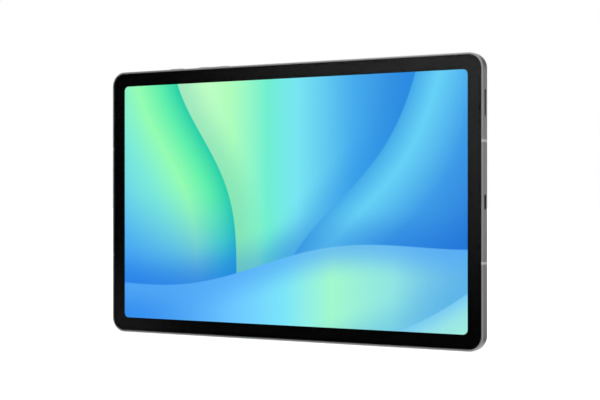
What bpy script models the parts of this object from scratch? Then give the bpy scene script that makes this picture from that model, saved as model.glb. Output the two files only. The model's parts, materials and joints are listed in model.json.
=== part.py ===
"""Tablet computer standing on its long edge, built from separate sub-parts.

Frame: +X to the right of the screen, +Z up, and the screen faces -Y. The origin is the middle of
the bottom edge, halfway between the front rim and the rear camera's ring, which stands proud of
the back. "Across" and "up" are counted from the middle of the screen, and "depth" from the front
rim towards the back.
"""
import math

import bmesh
import bpy
from mathutils import Vector

MM = 0.001

# Driving sizes of the whole object
WIDTH = 254.3 * MM
HEIGHT = 165.8 * MM
THICKNESS = 6.5 * MM
CAMERA_RISE = 0.8 * MM
CORNER_RADIUS = 9.0 * MM
EDGE_RADIUS = 0.65 * MM

FRONT_Y = -(THICKNESS + CAMERA_RISE) / 2
MIDDLE_DEPTH = THICKNESS / 2
CENTRE_Z = HEIGHT / 2

# Clearances between neighbours
STACK_GAP = 0.15 * MM
SIDE_GAP = 0.3 * MM
MOVING_GAP = 0.2 * MM
OVERRUN = 1.0 * MM

# Round corners: points per quarter turn
FINE_STEPS = 12
MEDIUM_STEPS = 6
ROUND_STEPS = 5
COARSE_STEPS = 3
EDGE_STEPS = 4
SHARP_ANGLE = 30

# Rear housing: rim around the glass, ledge behind it, pocket for everything inside
RIM = 1.1 * MM
WALL = 2.85 * MM
LEDGE_DEPTH = 1.5 * MM
FLOOR_DEPTH = 5.6 * MM
POCKET_HALF_HEIGHT = HEIGHT / 2 - WALL

# Depths of the layers, front face first
GLASS_DEPTHS = (0.05 * MM, 0.65 * MM)
ADHESIVE_DEPTHS = (0.8 * MM, 1.35 * MM)
PANEL_DEPTHS = (0.8 * MM, 1.3 * MM)
BACKLIGHT_DEPTHS = (1.45 * MM, 2.05 * MM)
SCREW_HEAD_DEPTHS = (2.2 * MM, 2.55 * MM)
PLATE_DEPTHS = (2.7 * MM, 3.1 * MM)
BATTERY_DEPTHS = (2.2 * MM, 5.3 * MM)
SHIELD_DEPTHS = (3.25 * MM, 4.8 * MM)
CHIP_DEPTHS = (3.65 * MM, 4.8 * MM)
FLEX_DEPTHS = (4.65 * MM, 4.8 * MM)
BOARD_DEPTHS = (4.95 * MM, 5.45 * MM)

# Screen
ACTIVE_WIDTH = 235.5 * MM
ACTIVE_HEIGHT = 147.2 * MM
ACTIVE_CORNER = 2.9 * MM
PANEL_BORDER = 1.2 * MM
GLASS_BEVEL = 0.12 * MM
ADHESIVE_WIDTH = 1.1 * MM

# Middle plate, battery cells and mainboard
PLATE_HALF_WIDTH = 105.5 * MM
BATTERY_SIZE = (76.0 * MM, 128.0 * MM)
BATTERY_ACROSS = (-18.0 * MM, 62.0 * MM)
BATTERY_UP = -9.0 * MM
BATTERY_CORNER = 2.0 * MM
BOARD_SIZE = (40.0 * MM, 112.0 * MM)
BOARD_PLACE = (-84.0 * MM, -18.0 * MM)
BOARD_CORNER = 1.0 * MM
SCREW_ACROSS = (-98.0 * MM, 22.0 * MM, 102.0 * MM)
SCREW_UP = (64.0 * MM, -77.0 * MM)
SCREW_HEAD_RADIUS = 1.6 * MM
SCREW_SHANK_RADIUS = 0.7 * MM
SCREW_END_DEPTH = 4.8 * MM
BOSS_RADIUS = 2.0 * MM
BOSS_HOLE_RADIUS = 1.0 * MM
SCREW_SOCKET_RADIUS = 0.7 * MM
SCREW_SOCKET_DEPTH = 2.45 * MM
PROCESSOR_SIZE = (14.0 * MM, 14.0 * MM)
PROCESSOR_UP = -20.0 * MM
MEMORY_SIZE = (11.5 * MM, 13.0 * MM)
MEMORY_UP = -38.0 * MM
SHIELD_SIZE = (24.0 * MM, 42.0 * MM)
SHIELD_UP = -29.0 * MM
SHIELD_WALL = 0.2 * MM
DISPLAY_FLEX_WIDTH = 18.0 * MM
DISPLAY_FLEX_TOP = -62.0 * MM
BOARD_FLEX_TOP = -68.0 * MM
BATTERY_FLEX_WIDTH = 8.0 * MM
BATTERY_FLEX_UP = 24.0 * MM
CABLE_LANDING = 8.0 * MM
SIDE_FLEX_UP = 16.0 * MM
SIDE_FLEX_WIDTH = 3.6 * MM
FLEX_LANE = 3.0 * MM
# Notches in the middle plate: name, across, up, size
PLATE_NOTCHES = (
    ("key_notch", -61.5 * MM, 79.0 * MM, (52.0 * MM, 6.0 * MM)),
    ("front_camera_notch", 0.0, 79.0 * MM, (7.0 * MM, 8.0 * MM)),
    ("microphone_notch", 16.0 * MM, 80.0 * MM, (5.0 * MM, 5.0 * MM)),
    ("lever_notch", -106.0 * MM, -42.5 * MM, (10.0 * MM, 16.0 * MM)),
    ("display_flex_notch", -84.0 * MM, -80.0 * MM, (20.0 * MM, 4.0 * MM)),
    ("contact_notch", 0.0, -80.0 * MM, (18.0 * MM, 4.0 * MM)),
)

# Right-hand and left-hand short sides
BAND_UP = 33.8 * MM
BAND_WIDTH = 1.5 * MM
BAND_REACH = 3.2 * MM
BAND_GAP = 0.12 * MM
SPEAKER_UP = 54.9 * MM
SPEAKER_SLOT = (2.0 * MM, 15.1 * MM)
SPEAKER_BOX = (16.4 * MM, 21.0 * MM)
SPEAKER_ACROSS = 115.4 * MM
SPEAKER_DEPTHS = (2.25 * MM, 5.35 * MM)
INNER_WALL = 0.6 * MM
SPEAKER_PORT = (1.2 * MM, 12.0 * MM)
CHAMBER = (12.6 * MM, 17.0 * MM)
MOULDED_CORNER = 1.0 * MM
DIAPHRAGM = (11.4 * MM, 15.8 * MM)
DIAPHRAGM_CORNER = 3.0 * MM
DIAPHRAGM_HALF = 0.15 * MM
DIAPHRAGM_DEPTH = 3.9 * MM
GRILLE_SINK = 0.4 * MM
GRILLE_THICKNESS = 0.25 * MM
USB_MOUTH = (2.6 * MM, 8.6 * MM)
USB_LIP = 0.3 * MM
USB_SEAL = (3.4 * MM, 9.2 * MM)
USB_SEAL_SPAN = (0.45 * MM, 1.4 * MM)
USB_SHELL = (3.16 * MM, 8.94 * MM)
USB_SHELL_SPAN = (1.55 * MM, 7.5 * MM)
USB_WALL = 0.3 * MM
USB_TONGUE = (0.7 * MM, 6.7 * MM)
USB_TONGUE_TIP = 1.9 * MM
USB_BOARD_ACROSS = 115.0 * MM
USB_BOARD_SIZE = (16.0 * MM, 44.0 * MM)

# Keys on the top edge
POWER_ACROSS = -78.9 * MM
POWER_LENGTH = 10.0 * MM
VOLUME_ACROSS = -51.3 * MM
VOLUME_LENGTH = 22.0 * MM
KEY_WIDTH = 2.0 * MM
KEY_RISE = 0.55 * MM
KEY_FLANGE = 0.8 * MM
KEY_BEVEL = 0.15 * MM
# Shallow dip in the middle of the volume key: lengths at its bottom and at its mouth
ROCKER_DIP = (4.0 * MM, 10.0 * MM)
ROCKER_DIP_DEPTH = 0.13 * MM
# Spans along Z, counted up from the top edge
KEY_FLANGE_SPAN = (-3.9 * MM, -3.25 * MM)
KEY_PIVOT = -3.6 * MM
DOME_SPREAD = 6.0 * MM
DOME_RADIUS = 1.5 * MM
DOME_SPAN = (-4.55 * MM, -4.25 * MM)
KEY_FLEX_SIZE = (46.0 * MM, 3.0 * MM)
KEY_FLEX_SPAN = (-4.85 * MM, -4.7 * MM)
KEY_BRACKET_SIZE = (48.0 * MM, 3.2 * MM)
KEY_BRACKET_SPAN = (-5.4 * MM, -5.0 * MM)

# Card tray on the left-hand side
TRAY_UP = -46.5 * MM
TRAY_FACE = (1.9 * MM, 19.4 * MM)
TRAY_FACE_DEPTH = 1.1 * MM
TRAY_BODY = (1.0 * MM, 13.4 * MM)
TRAY_LENGTH = 17.05 * MM
TRAY_BEVEL = 0.2 * MM
CARD_POCKET = (12.6 * MM, 11.4 * MM)
POCKET_FLOOR = 0.3 * MM
PINHOLE_RADIUS = 0.4 * MM
SOCKET_SPAN = (3.25 * MM, 16.75 * MM)
SOCKET_WALL = 0.3 * MM
ROD_SPAN = (1.8 * MM, 19.25 * MM)
ROD_OFFSET = 8.4 * MM
ROD_RADIUS = 0.45 * MM
LEVER_PIVOT = (-106.6 * MM, TRAY_UP + 4.9 * MM)
LEVER_ENDS = (-5.3 * MM, 4.4 * MM)
LEVER_HALF_WIDTH = 1.0 * MM
LEVER_HALF_THICKNESS = 0.3 * MM
PIVOT_RADIUS = 0.4 * MM

# Cameras, microphone and keyboard contacts
REAR_CAMERA = (-114.0 * MM, 73.0 * MM)
RING_RADIUS = 6.2 * MM
RING_START = 5.7 * MM
RING_BEVEL = 0.2 * MM
RING_THROAT = 3.7 * MM
WINDOW_RADIUS = 4.8 * MM
WINDOW_SEAT = 0.75 * MM
WINDOW_SINK = 0.1 * MM
CAMERA_BODY_SIZE = (10.5 * MM, 10.5 * MM)
CAMERA_BODY_DEPTHS = (2.3 * MM, 5.4 * MM)
BARREL_RADIUS = 3.0 * MM
BARREL_DEPTHS = (3.65 * MM, 6.2 * MM)
LENS_RADIUS = 1.9 * MM
LENS_SEAT = 0.9 * MM
SENSOR_SIZE = (4.4 * MM, 3.4 * MM)
SENSOR_THICKNESS = 0.3 * MM
CAMERA_CORNER = 0.5 * MM
FRONT_CAMERA_UP = 77.8 * MM
FRONT_CAMERA_SIZE = (5.0 * MM, 3.8 * MM)
FRONT_CAMERA_DEPTHS = (1.6 * MM, 4.6 * MM)
FRONT_LENS_DEPTHS = (0.8 * MM, 1.45 * MM)
FRONT_LENS_RADIUS = 1.3 * MM
LENS_BEVEL = 0.15 * MM
MICROPHONE_ACROSS = 16.0 * MM
MICROPHONE_HOLE = 0.45 * MM
MICROPHONE_SIZE = (3.5 * MM, 2.6 * MM)
MICROPHONE_SPAN = (-4.2 * MM, -3.15 * MM)
CONTACT_ACROSS = (-6.0 * MM, 0.0, 6.0 * MM)
CONTACT_STRIP = (19.4 * MM, 2.0 * MM)
CONTACT_RADIUS = 0.65 * MM
# Spans along Z, counted up from the bottom edge
CONTACT_RECESS = 1.2 * MM
CONTACT_STRIP_SPAN = (0.15 * MM, 0.95 * MM)
CONTACT_SPAN = (0.08 * MM, 3.6 * MM)

# Finishes: colour, roughness, metallic
ALUMINIUM = ((0.40, 0.42, 0.42), 0.38, 1.0)
BAND_PLASTIC = ((0.36, 0.38, 0.38), 0.5, 0.0)
BLACK_GLASS = ((0.01, 0.01, 0.012), 0.05, 0.0)
SCREEN = ((0.05, 0.25, 0.5), 0.3, 0.0)
WHITE_PLASTIC = ((0.8, 0.8, 0.8), 0.5, 0.0)
BLACK_PLASTIC = ((0.02, 0.02, 0.02), 0.5, 0.0)
MAGNESIUM = ((0.35, 0.35, 0.36), 0.5, 1.0)
POUCH = ((0.25, 0.26, 0.28), 0.35, 0.8)
BOARD_GREEN = ((0.02, 0.09, 0.05), 0.5, 0.0)
CHIP_BLACK = ((0.03, 0.03, 0.035), 0.6, 0.0)
STEEL = ((0.55, 0.55, 0.55), 0.3, 1.0)
FLEX_AMBER = ((0.35, 0.15, 0.03), 0.4, 0.0)
GOLD = ((0.8, 0.55, 0.2), 0.25, 1.0)
CLEAR_GLASS = ((0.05, 0.06, 0.08), 0.03, 0.0)


def clear_scene():
    """Empty the scene."""
    for item in list(bpy.data.objects):
        bpy.data.objects.remove(item, do_unlink=True)


def at(across, up, depth):
    """World point from a place on the screen's plane and a depth behind the front rim."""
    return Vector((across, FRONT_Y + depth, CENTRE_Z + up))


def rounded_outline(width, height, radius, steps):
    """Outline of a rounded rectangle around (0, 0), counter-clockwise."""
    points = []
    for quarter, (side_x, side_y) in enumerate(((1, 1), (-1, 1), (-1, -1), (1, -1))):
        centre_x = side_x * (width / 2 - radius)
        centre_y = side_y * (height / 2 - radius)
        for step in range(steps + 1):
            angle = math.pi / 2 * (quarter + step / steps)
            points.append((centre_x + radius * math.cos(angle), centre_y + radius * math.sin(angle)))
    return points


def on_axis(axis, first, second, along):
    """Local point of an outline square to an axis: X takes Y and Z, Y takes X and Z, Z takes X and Y."""
    if axis == "X":
        return Vector((along, first, second))
    if axis == "Y":
        return Vector((first, along, second))
    return Vector((first, second, along))


def mesh_from_loops(name, loops, closed=False):
    """Join loops of points into one skin, capped at both ends unless the last loop meets the first."""
    shape = bmesh.new()
    rings = [[shape.verts.new(point) for point in loop] for loop in loops]
    followers = rings[1:] + rings[:1] if closed else rings[1:]
    for ring, follower in zip(rings, followers):
        for index in range(len(ring)):
            after = (index + 1) % len(ring)
            shape.faces.new((ring[index], ring[after], follower[after], follower[index]))
    if not closed:
        shape.faces.new(rings[0])
        shape.faces.new(rings[-1])
    bmesh.ops.remove_doubles(shape, verts=shape.verts, dist=MM / 1000)
    bmesh.ops.recalc_face_normals(shape, faces=shape.faces)
    mesh = bpy.data.meshes.new(name)
    shape.to_mesh(mesh)
    shape.free()
    return mesh


def staged_mesh(name, axis, stages, steps, closed=False):
    """Skin through stages, each (along, width, height, corner radius), square to the axis."""
    loops = []
    for along, width, height, radius in stages:
        outline = rounded_outline(width, height, radius, steps)
        loops.append([on_axis(axis, first, second, along) for first, second in outline])
    return mesh_from_loops(name, loops, closed)


def disc(along, radius):
    """Stage that is a circle."""
    return (along, 2 * radius, 2 * radius, radius)


def straight(size, spans, radius=0.0):
    """Two stages of one size: a plain prism between two places along the axis."""
    return [(spans[0], *size, radius), (spans[1], *size, radius)]


def add_part(name, mesh, place, finish):
    """Put a mesh in the scene as a named sub-part with its own material."""
    colour, roughness, metallic = finish
    material = bpy.data.materials.new(name + "_finish")
    material.use_nodes = True
    shader = material.node_tree.nodes["Principled BSDF"]
    shader.inputs["Base Color"].default_value = (*colour, 1.0)
    shader.inputs["Roughness"].default_value = roughness
    shader.inputs["Metallic"].default_value = metallic
    mesh.materials.append(material)
    mesh.shade_smooth()
    mesh.set_sharp_from_angle(angle=math.radians(SHARP_ANGLE))
    part = bpy.data.objects.new(name, mesh)
    part.location = place
    bpy.context.scene.collection.objects.link(part)
    return part


def build(name, axis, stages, place, finish, steps=ROUND_STEPS, closed=False):
    """Make one staged sub-part."""
    return add_part(name, staged_mesh(name, axis, stages, steps, closed), place, finish)


def add_guide(name, mesh, place):
    """Put a mesh in the scene that only shapes other sub-parts."""
    guide = bpy.data.objects.new(name, mesh)
    guide.location = place
    guide.hide_render = True
    guide.display_type = "WIRE"
    bpy.context.scene.collection.objects.link(guide)
    return guide


def combine(part, guide, operation):
    """Apply a guide to a sub-part with a Boolean modifier."""
    modifier = part.modifiers.new(guide.name, "BOOLEAN")
    modifier.object = guide
    modifier.operation = operation


def cut(part, name, axis, stages, place, steps=ROUND_STEPS):
    """Take a staged shape away from a sub-part."""
    guide = add_guide("cut_" + name, staged_mesh(name, axis, stages, steps), place)
    combine(part, guide, "DIFFERENCE")


def housing_stages():
    """Skin of the housing: pocket, ledge, rim, rounded front edge, side wall, rounded back edge."""
    def stage(inset, depth):
        return (depth, WIDTH - 2 * inset, HEIGHT - 2 * inset, CORNER_RADIUS - inset)

    stages = [
        stage(WALL, FLOOR_DEPTH),
        stage(WALL, LEDGE_DEPTH),
        stage(RIM, LEDGE_DEPTH),
        stage(RIM, 0.0),
    ]
    for step in range(EDGE_STEPS + 1):
        angle = math.pi / 2 * step / EDGE_STEPS
        stages.append(stage(EDGE_RADIUS * (1 - math.sin(angle)), EDGE_RADIUS * (1 - math.cos(angle))))
    for step in range(EDGE_STEPS + 1):
        angle = math.pi / 2 * step / EDGE_STEPS
        inset = EDGE_RADIUS * (1 - math.cos(angle))
        stages.append(stage(inset, THICKNESS - EDGE_RADIUS * (1 - math.sin(angle))))
    return stages


def side_spans(side, inwards, outwards):
    """Span along X around a short side's face: side is 1 on the right and -1 on the left."""
    return sorted((-side * inwards, side * outwards))


def screw_places():
    """Across and up of each screw through the middle plate."""
    return [(across, up) for up in SCREW_UP for across in SCREW_ACROSS]


def band_places():
    """Antenna bands: name, side of the tablet and height."""
    return [
        (f"antenna_band_{side_name}_{level_name}", side, level * BAND_UP)
        for side_name, side in (("right", 1), ("left", -1))
        for level_name, level in (("upper", 1), ("lower", -1))
    ]


def make_housing():
    """Rear housing, one milled aluminium tray, with every opening in its walls."""
    housing = build("rear_housing", "Y", housing_stages(), at(0, 0, 0), ALUMINIUM, FINE_STEPS)
    add_bosses(housing)
    for name, side, up in band_places():
        cut(housing, name, "X",
            straight((2 * THICKNESS, BAND_WIDTH), side_spans(side, BAND_REACH, OVERRUN)),
            at(side * WIDTH / 2, up, MIDDLE_DEPTH))
    for name, side in (("right", 1), ("left", -1)):
        cut(housing, f"speaker_slot_{name}", "X",
            straight(SPEAKER_SLOT, side_spans(side, WALL + OVERRUN, OVERRUN), SPEAKER_SLOT[0] / 2),
            at(side * WIDTH / 2, SPEAKER_UP, MIDDLE_DEPTH))
    cut_usb_mouth(housing)
    cut_key_slots(housing)
    cut_tray_slot(housing)
    cut_contact_recess(housing)
    ring_hole = RING_RADIUS + STACK_GAP
    cut(housing, "rear_camera_hole", "Y",
        [disc(FLOOR_DEPTH - OVERRUN, ring_hole), disc(THICKNESS + OVERRUN, ring_hole)],
        at(*REAR_CAMERA, 0), FINE_STEPS)
    cut(housing, "microphone_hole", "Z",
        [disc(-WALL - OVERRUN, MICROPHONE_HOLE), disc(OVERRUN, MICROPHONE_HOLE)],
        at(MICROPHONE_ACROSS, HEIGHT / 2, MIDDLE_DEPTH), COARSE_STEPS)


def add_bosses(housing):
    """Screw bosses that stand on the housing's floor under the middle plate."""
    top = PLATE_DEPTHS[1] + STACK_GAP
    for index, (across, up) in enumerate(screw_places(), start=1):
        boss = staged_mesh("boss", "Y", [
            disc(FLOOR_DEPTH + STACK_GAP, BOSS_RADIUS),
            disc(top, BOSS_RADIUS),
            disc(top, BOSS_HOLE_RADIUS),
            disc(SCREW_END_DEPTH + SIDE_GAP, BOSS_HOLE_RADIUS),
        ], COARSE_STEPS)
        combine(housing, add_guide(f"join_boss_{index}", boss, at(across, up, 0)), "UNION")


def cut_usb_mouth(housing):
    """Socket mouth in the right-hand wall, wider behind its lip for the seal and the socket's shell."""
    wide_hole = (USB_SEAL[0] + 2 * STACK_GAP, USB_SEAL[1] + 2 * STACK_GAP)
    place = at(WIDTH / 2, 0, MIDDLE_DEPTH)
    cut(housing, "usb_mouth", "X",
        straight(USB_MOUTH, (-WALL - OVERRUN, OVERRUN), USB_MOUTH[0] / 2), place)
    cut(housing, "usb_wide_hole", "X",
        straight(wide_hole, (-WALL - OVERRUN, -USB_LIP), wide_hole[0] / 2), place)


def cut_key_slots(housing):
    """Slots in the top wall that the keys stand in."""
    for name, across, length in (("power_slot", POWER_ACROSS, POWER_LENGTH),
                                 ("volume_slot", VOLUME_ACROSS, VOLUME_LENGTH)):
        slot = (length + 2 * MOVING_GAP, KEY_WIDTH + 2 * MOVING_GAP)
        cut(housing, name, "Z", straight(slot, (-WALL - OVERRUN, OVERRUN), slot[1] / 2),
            at(across, HEIGHT / 2, MIDDLE_DEPTH))


def cut_tray_slot(housing):
    """Recess for the card tray's face, slot for its body and hole for the eject rod."""
    place = at(-WIDTH / 2, TRAY_UP, MIDDLE_DEPTH)
    recess = (TRAY_FACE[0] + 2 * MOVING_GAP, TRAY_FACE[1] + 2 * MOVING_GAP)
    slot = (TRAY_BODY[0] + 2 * SIDE_GAP, TRAY_BODY[1] + 2 * SIDE_GAP)
    rod_hole = ROD_RADIUS + SIDE_GAP
    cut(housing, "tray_recess", "X",
        straight(recess, (-OVERRUN, TRAY_FACE_DEPTH + SIDE_GAP), recess[0] / 2), place)
    cut(housing, "tray_slot", "X", straight(slot, (0.0, WALL + OVERRUN)), place)
    cut(housing, "eject_hole", "X", [disc(0.0, rod_hole), disc(WALL + OVERRUN, rod_hole)],
        place + Vector((0, 0, ROD_OFFSET)))


def cut_contact_recess(housing):
    """Recess in the bottom edge for the contact strip, with a hole for each contact."""
    recess = (CONTACT_STRIP[0] + 2 * SIDE_GAP, CONTACT_STRIP[1] + 2 * SIDE_GAP)
    hole = CONTACT_RADIUS + SIDE_GAP
    cut(housing, "contact_recess", "Z", straight(recess, (-OVERRUN, CONTACT_RECESS), recess[1] / 2),
        at(0, -HEIGHT / 2, MIDDLE_DEPTH))
    for index, across in enumerate(CONTACT_ACROSS, start=1):
        cut(housing, f"contact_hole_{index}", "Z", [disc(0.0, hole), disc(WALL + OVERRUN, hole)],
            at(across, -HEIGHT / 2, MIDDLE_DEPTH), COARSE_STEPS)


def make_antenna_bands():
    """Plastic bands that fill the notches, each with the section of the wall it interrupts."""
    section = add_guide("guide_wall_section",
                        staged_mesh("wall_section", "Y", housing_stages(), FINE_STEPS), at(0, 0, 0))
    size = (2 * THICKNESS, BAND_WIDTH - 2 * BAND_GAP)
    for name, side, up in band_places():
        band = build(name, "X", straight(size, side_spans(side, BAND_REACH - BAND_GAP, OVERRUN)),
                     at(side * WIDTH / 2, up, MIDDLE_DEPTH), BAND_PLASTIC)
        combine(band, section, "INTERSECT")


def make_screen():
    """Cover glass, its adhesive frame, the display panel and the backlight behind it."""
    inset = RIM + SIDE_GAP
    glass = (WIDTH - 2 * inset, HEIGHT - 2 * inset, CORNER_RADIUS - inset)
    front, back = GLASS_DEPTHS
    build("front_glass", "Y", [
        (back, *glass),
        (front + GLASS_BEVEL, *glass),
        (front, glass[0] - 2 * GLASS_BEVEL, glass[1] - 2 * GLASS_BEVEL, glass[2] - GLASS_BEVEL),
    ], at(0, 0, 0), BLACK_GLASS, FINE_STEPS)

    outer = (glass[0] - 2 * SIDE_GAP, glass[1] - 2 * SIDE_GAP, glass[2] - SIDE_GAP)
    inner = (outer[0] - 2 * ADHESIVE_WIDTH, outer[1] - 2 * ADHESIVE_WIDTH, outer[2] - ADHESIVE_WIDTH)
    near, far = ADHESIVE_DEPTHS
    build("glass_adhesive", "Y", [(near, *outer), (far, *outer), (far, *inner), (near, *inner)],
          at(0, 0, 0), BLACK_PLASTIC, closed=True)

    panel = (ACTIVE_WIDTH + 2 * PANEL_BORDER, ACTIVE_HEIGHT + 2 * PANEL_BORDER)
    build("display_panel", "Y", straight(panel, PANEL_DEPTHS, ACTIVE_CORNER), at(0, 0, 0), SCREEN)
    build("backlight_unit", "Y", straight(panel, BACKLIGHT_DEPTHS, ACTIVE_CORNER), at(0, 0, 0),
          WHITE_PLASTIC)


def make_middle_plate():
    """Magnesium plate behind the screen, with windows for the cells and holes for the screws."""
    plate_size = (2 * PLATE_HALF_WIDTH, 2 * (POCKET_HALF_HEIGHT - SIDE_GAP))
    plate = build("middle_plate", "Y", straight(plate_size, PLATE_DEPTHS, SIDE_GAP), at(0, 0, 0), MAGNESIUM)
    through = (PLATE_DEPTHS[0] - OVERRUN, PLATE_DEPTHS[1] + OVERRUN)
    window = (BATTERY_SIZE[0] + 2 * SIDE_GAP, BATTERY_SIZE[1] + 2 * SIDE_GAP)
    for index, across in enumerate(BATTERY_ACROSS, start=1):
        cut(plate, f"battery_window_{index}", "Y", straight(window, through), at(across, BATTERY_UP, 0))
    for name, across, up, size in PLATE_NOTCHES:
        cut(plate, f"plate_{name}", "Y", straight(size, through), at(across, up, 0))
    for index, (across, up) in enumerate(screw_places(), start=1):
        cut(plate, f"screw_hole_{index}", "Y",
            [disc(through[0], BOSS_HOLE_RADIUS), disc(through[1], BOSS_HOLE_RADIUS)],
            at(across, up, 0), COARSE_STEPS)
    for index, (across, up) in enumerate(screw_places(), start=1):
        build(f"plate_screw_{index}", "Y", [
            disc(SCREW_SOCKET_DEPTH, SCREW_SOCKET_RADIUS),
            disc(SCREW_HEAD_DEPTHS[0], SCREW_SOCKET_RADIUS),
            disc(SCREW_HEAD_DEPTHS[0], SCREW_HEAD_RADIUS),
            disc(SCREW_HEAD_DEPTHS[1], SCREW_HEAD_RADIUS),
            disc(SCREW_HEAD_DEPTHS[1], SCREW_SHANK_RADIUS),
            disc(SCREW_END_DEPTH, SCREW_SHANK_RADIUS),
        ], at(across, up, 0), STEEL, COARSE_STEPS)


def make_power_supply():
    """Two battery cells and the flat cable that joins them to the mainboard."""
    for name, across in zip(("battery_left", "battery_right"), BATTERY_ACROSS):
        build(name, "Y", straight(BATTERY_SIZE, BATTERY_DEPTHS, BATTERY_CORNER),
              at(across, BATTERY_UP, 0), POUCH, COARSE_STEPS)
    board_right = BOARD_PLACE[0] + BOARD_SIZE[0] / 2
    cell_left = BATTERY_ACROSS[0] - BATTERY_SIZE[0] / 2
    flat_cable("battery_flex", [(board_right - CABLE_LANDING, BATTERY_FLEX_UP),
                                (cell_left - SIDE_GAP, BATTERY_FLEX_UP)], BATTERY_FLEX_WIDTH)


def flat_cable(name, route, width):
    """Flat cable of one width along a route of square turns, given as across and up."""
    half = width / 2
    left_side, right_side = [], []
    for index, (across, up) in enumerate(route):
        before = Vector(route[max(index - 1, 0)])
        after = Vector(route[min(index + 1, len(route) - 1)])
        here = Vector((across, up))
        arriving = (here - before).normalized() if index else (after - here).normalized()
        leaving = (after - here).normalized() if index < len(route) - 1 else arriving
        turned = [Vector((-way.y, way.x)) for way in (arriving, leaving)]
        offset = turned[0] * half if arriving == leaving else (turned[0] + turned[1]) * half
        left_side.append(here + offset)
        right_side.append(here - offset)
    outline = left_side + right_side[::-1]
    loops = [[Vector((point.x, depth, point.y)) for point in outline] for depth in FLEX_DEPTHS]
    return add_part(name, mesh_from_loops(name, loops), at(0, 0, 0), FLEX_AMBER)


def make_mainboard():
    """Mainboard with its chips under a shield, and the display's folded flat cable."""
    across, up = BOARD_PLACE
    build("mainboard", "Y", straight(BOARD_SIZE, BOARD_DEPTHS, BOARD_CORNER), at(across, up, 0),
          BOARD_GREEN, COARSE_STEPS)
    build("processor", "Y", straight(PROCESSOR_SIZE, CHIP_DEPTHS), at(across, PROCESSOR_UP, 0), CHIP_BLACK)
    build("memory_chip", "Y", straight(MEMORY_SIZE, CHIP_DEPTHS), at(across, MEMORY_UP, 0), CHIP_BLACK)
    roof, rim = SHIELD_DEPTHS
    inner = (SHIELD_SIZE[0] - 2 * SHIELD_WALL, SHIELD_SIZE[1] - 2 * SHIELD_WALL)
    build("processor_shield", "Y", [
        (roof, *SHIELD_SIZE, BOARD_CORNER),
        (rim, *SHIELD_SIZE, BOARD_CORNER),
        (rim, *inner, BOARD_CORNER - SHIELD_WALL),
        (roof + SHIELD_WALL, *inner, BOARD_CORNER - SHIELD_WALL),
    ], at(across, SHIELD_UP, 0), STEEL, COARSE_STEPS)
    make_display_flex()


def make_display_flex():
    """Flat cable from the display, folded round the middle plate's lower edge to the mainboard."""
    outer_low = -(POCKET_HALF_HEIGHT - SIDE_GAP)
    near = PLATE_DEPTHS[0] - 3 * STACK_GAP
    far = FLEX_DEPTHS[0]
    thick = STACK_GAP
    section = [
        (DISPLAY_FLEX_TOP, near), (outer_low, near), (outer_low, far + thick), (BOARD_FLEX_TOP, far + thick),
        (BOARD_FLEX_TOP, far), (outer_low + thick, far), (outer_low + thick, near + thick),
        (DISPLAY_FLEX_TOP, near + thick),
    ]
    half = DISPLAY_FLEX_WIDTH / 2
    loops = [[Vector((across, depth, up)) for up, depth in section] for across in (-half, half)]
    add_part("display_flex", mesh_from_loops("display_flex", loops), at(BOARD_PLACE[0], 0, 0), FLEX_AMBER)


def make_usb_port():
    """Charging socket, its seal and tongue, its small board and the flat cable to the mainboard."""
    socket_place = at(WIDTH / 2, 0, MIDDLE_DEPTH)
    near, far = USB_SEAL_SPAN
    build("usb_seal", "X",
          straight(USB_SEAL, (-far, -near), USB_SEAL[0] / 2)
          + straight(USB_MOUTH, (-near, -far), USB_MOUTH[0] / 2),
          socket_place, BLACK_PLASTIC, closed=True)
    near, far = USB_SHELL_SPAN
    inner = (USB_SHELL[0] - 2 * USB_WALL, USB_SHELL[1] - 2 * USB_WALL)
    build("usb_shell", "X", [
        (-far, *USB_SHELL, USB_SHELL[0] / 2),
        (-near, *USB_SHELL, USB_SHELL[0] / 2),
        (-near, *inner, inner[0] / 2),
        (-far + USB_WALL, *inner, inner[0] / 2),
    ], socket_place, STEEL)
    build("usb_tongue", "X", straight(USB_TONGUE, (-far + USB_WALL + STACK_GAP, -USB_TONGUE_TIP),
                                      USB_TONGUE[0] / 4), socket_place, BLACK_PLASTIC, COARSE_STEPS)
    build("usb_board", "Y", straight(USB_BOARD_SIZE, BOARD_DEPTHS, BOARD_CORNER),
          at(USB_BOARD_ACROSS, 0, 0), BOARD_GREEN, COARSE_STEPS)
    lane = BATTERY_ACROSS[1] + BATTERY_SIZE[0] / 2 + FLEX_LANE
    over = BATTERY_UP + BATTERY_SIZE[1] / 2 + FLEX_LANE
    landing = BOARD_PLACE[0] - CABLE_LANDING
    flat_cable("side_flex", [
        (USB_BOARD_ACROSS, SIDE_FLEX_UP), (lane, SIDE_FLEX_UP), (lane, over), (landing, over),
        (landing, BOARD_PLACE[1] + BOARD_SIZE[1] / 2 - CABLE_LANDING / 2),
    ], SIDE_FLEX_WIDTH)


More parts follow.
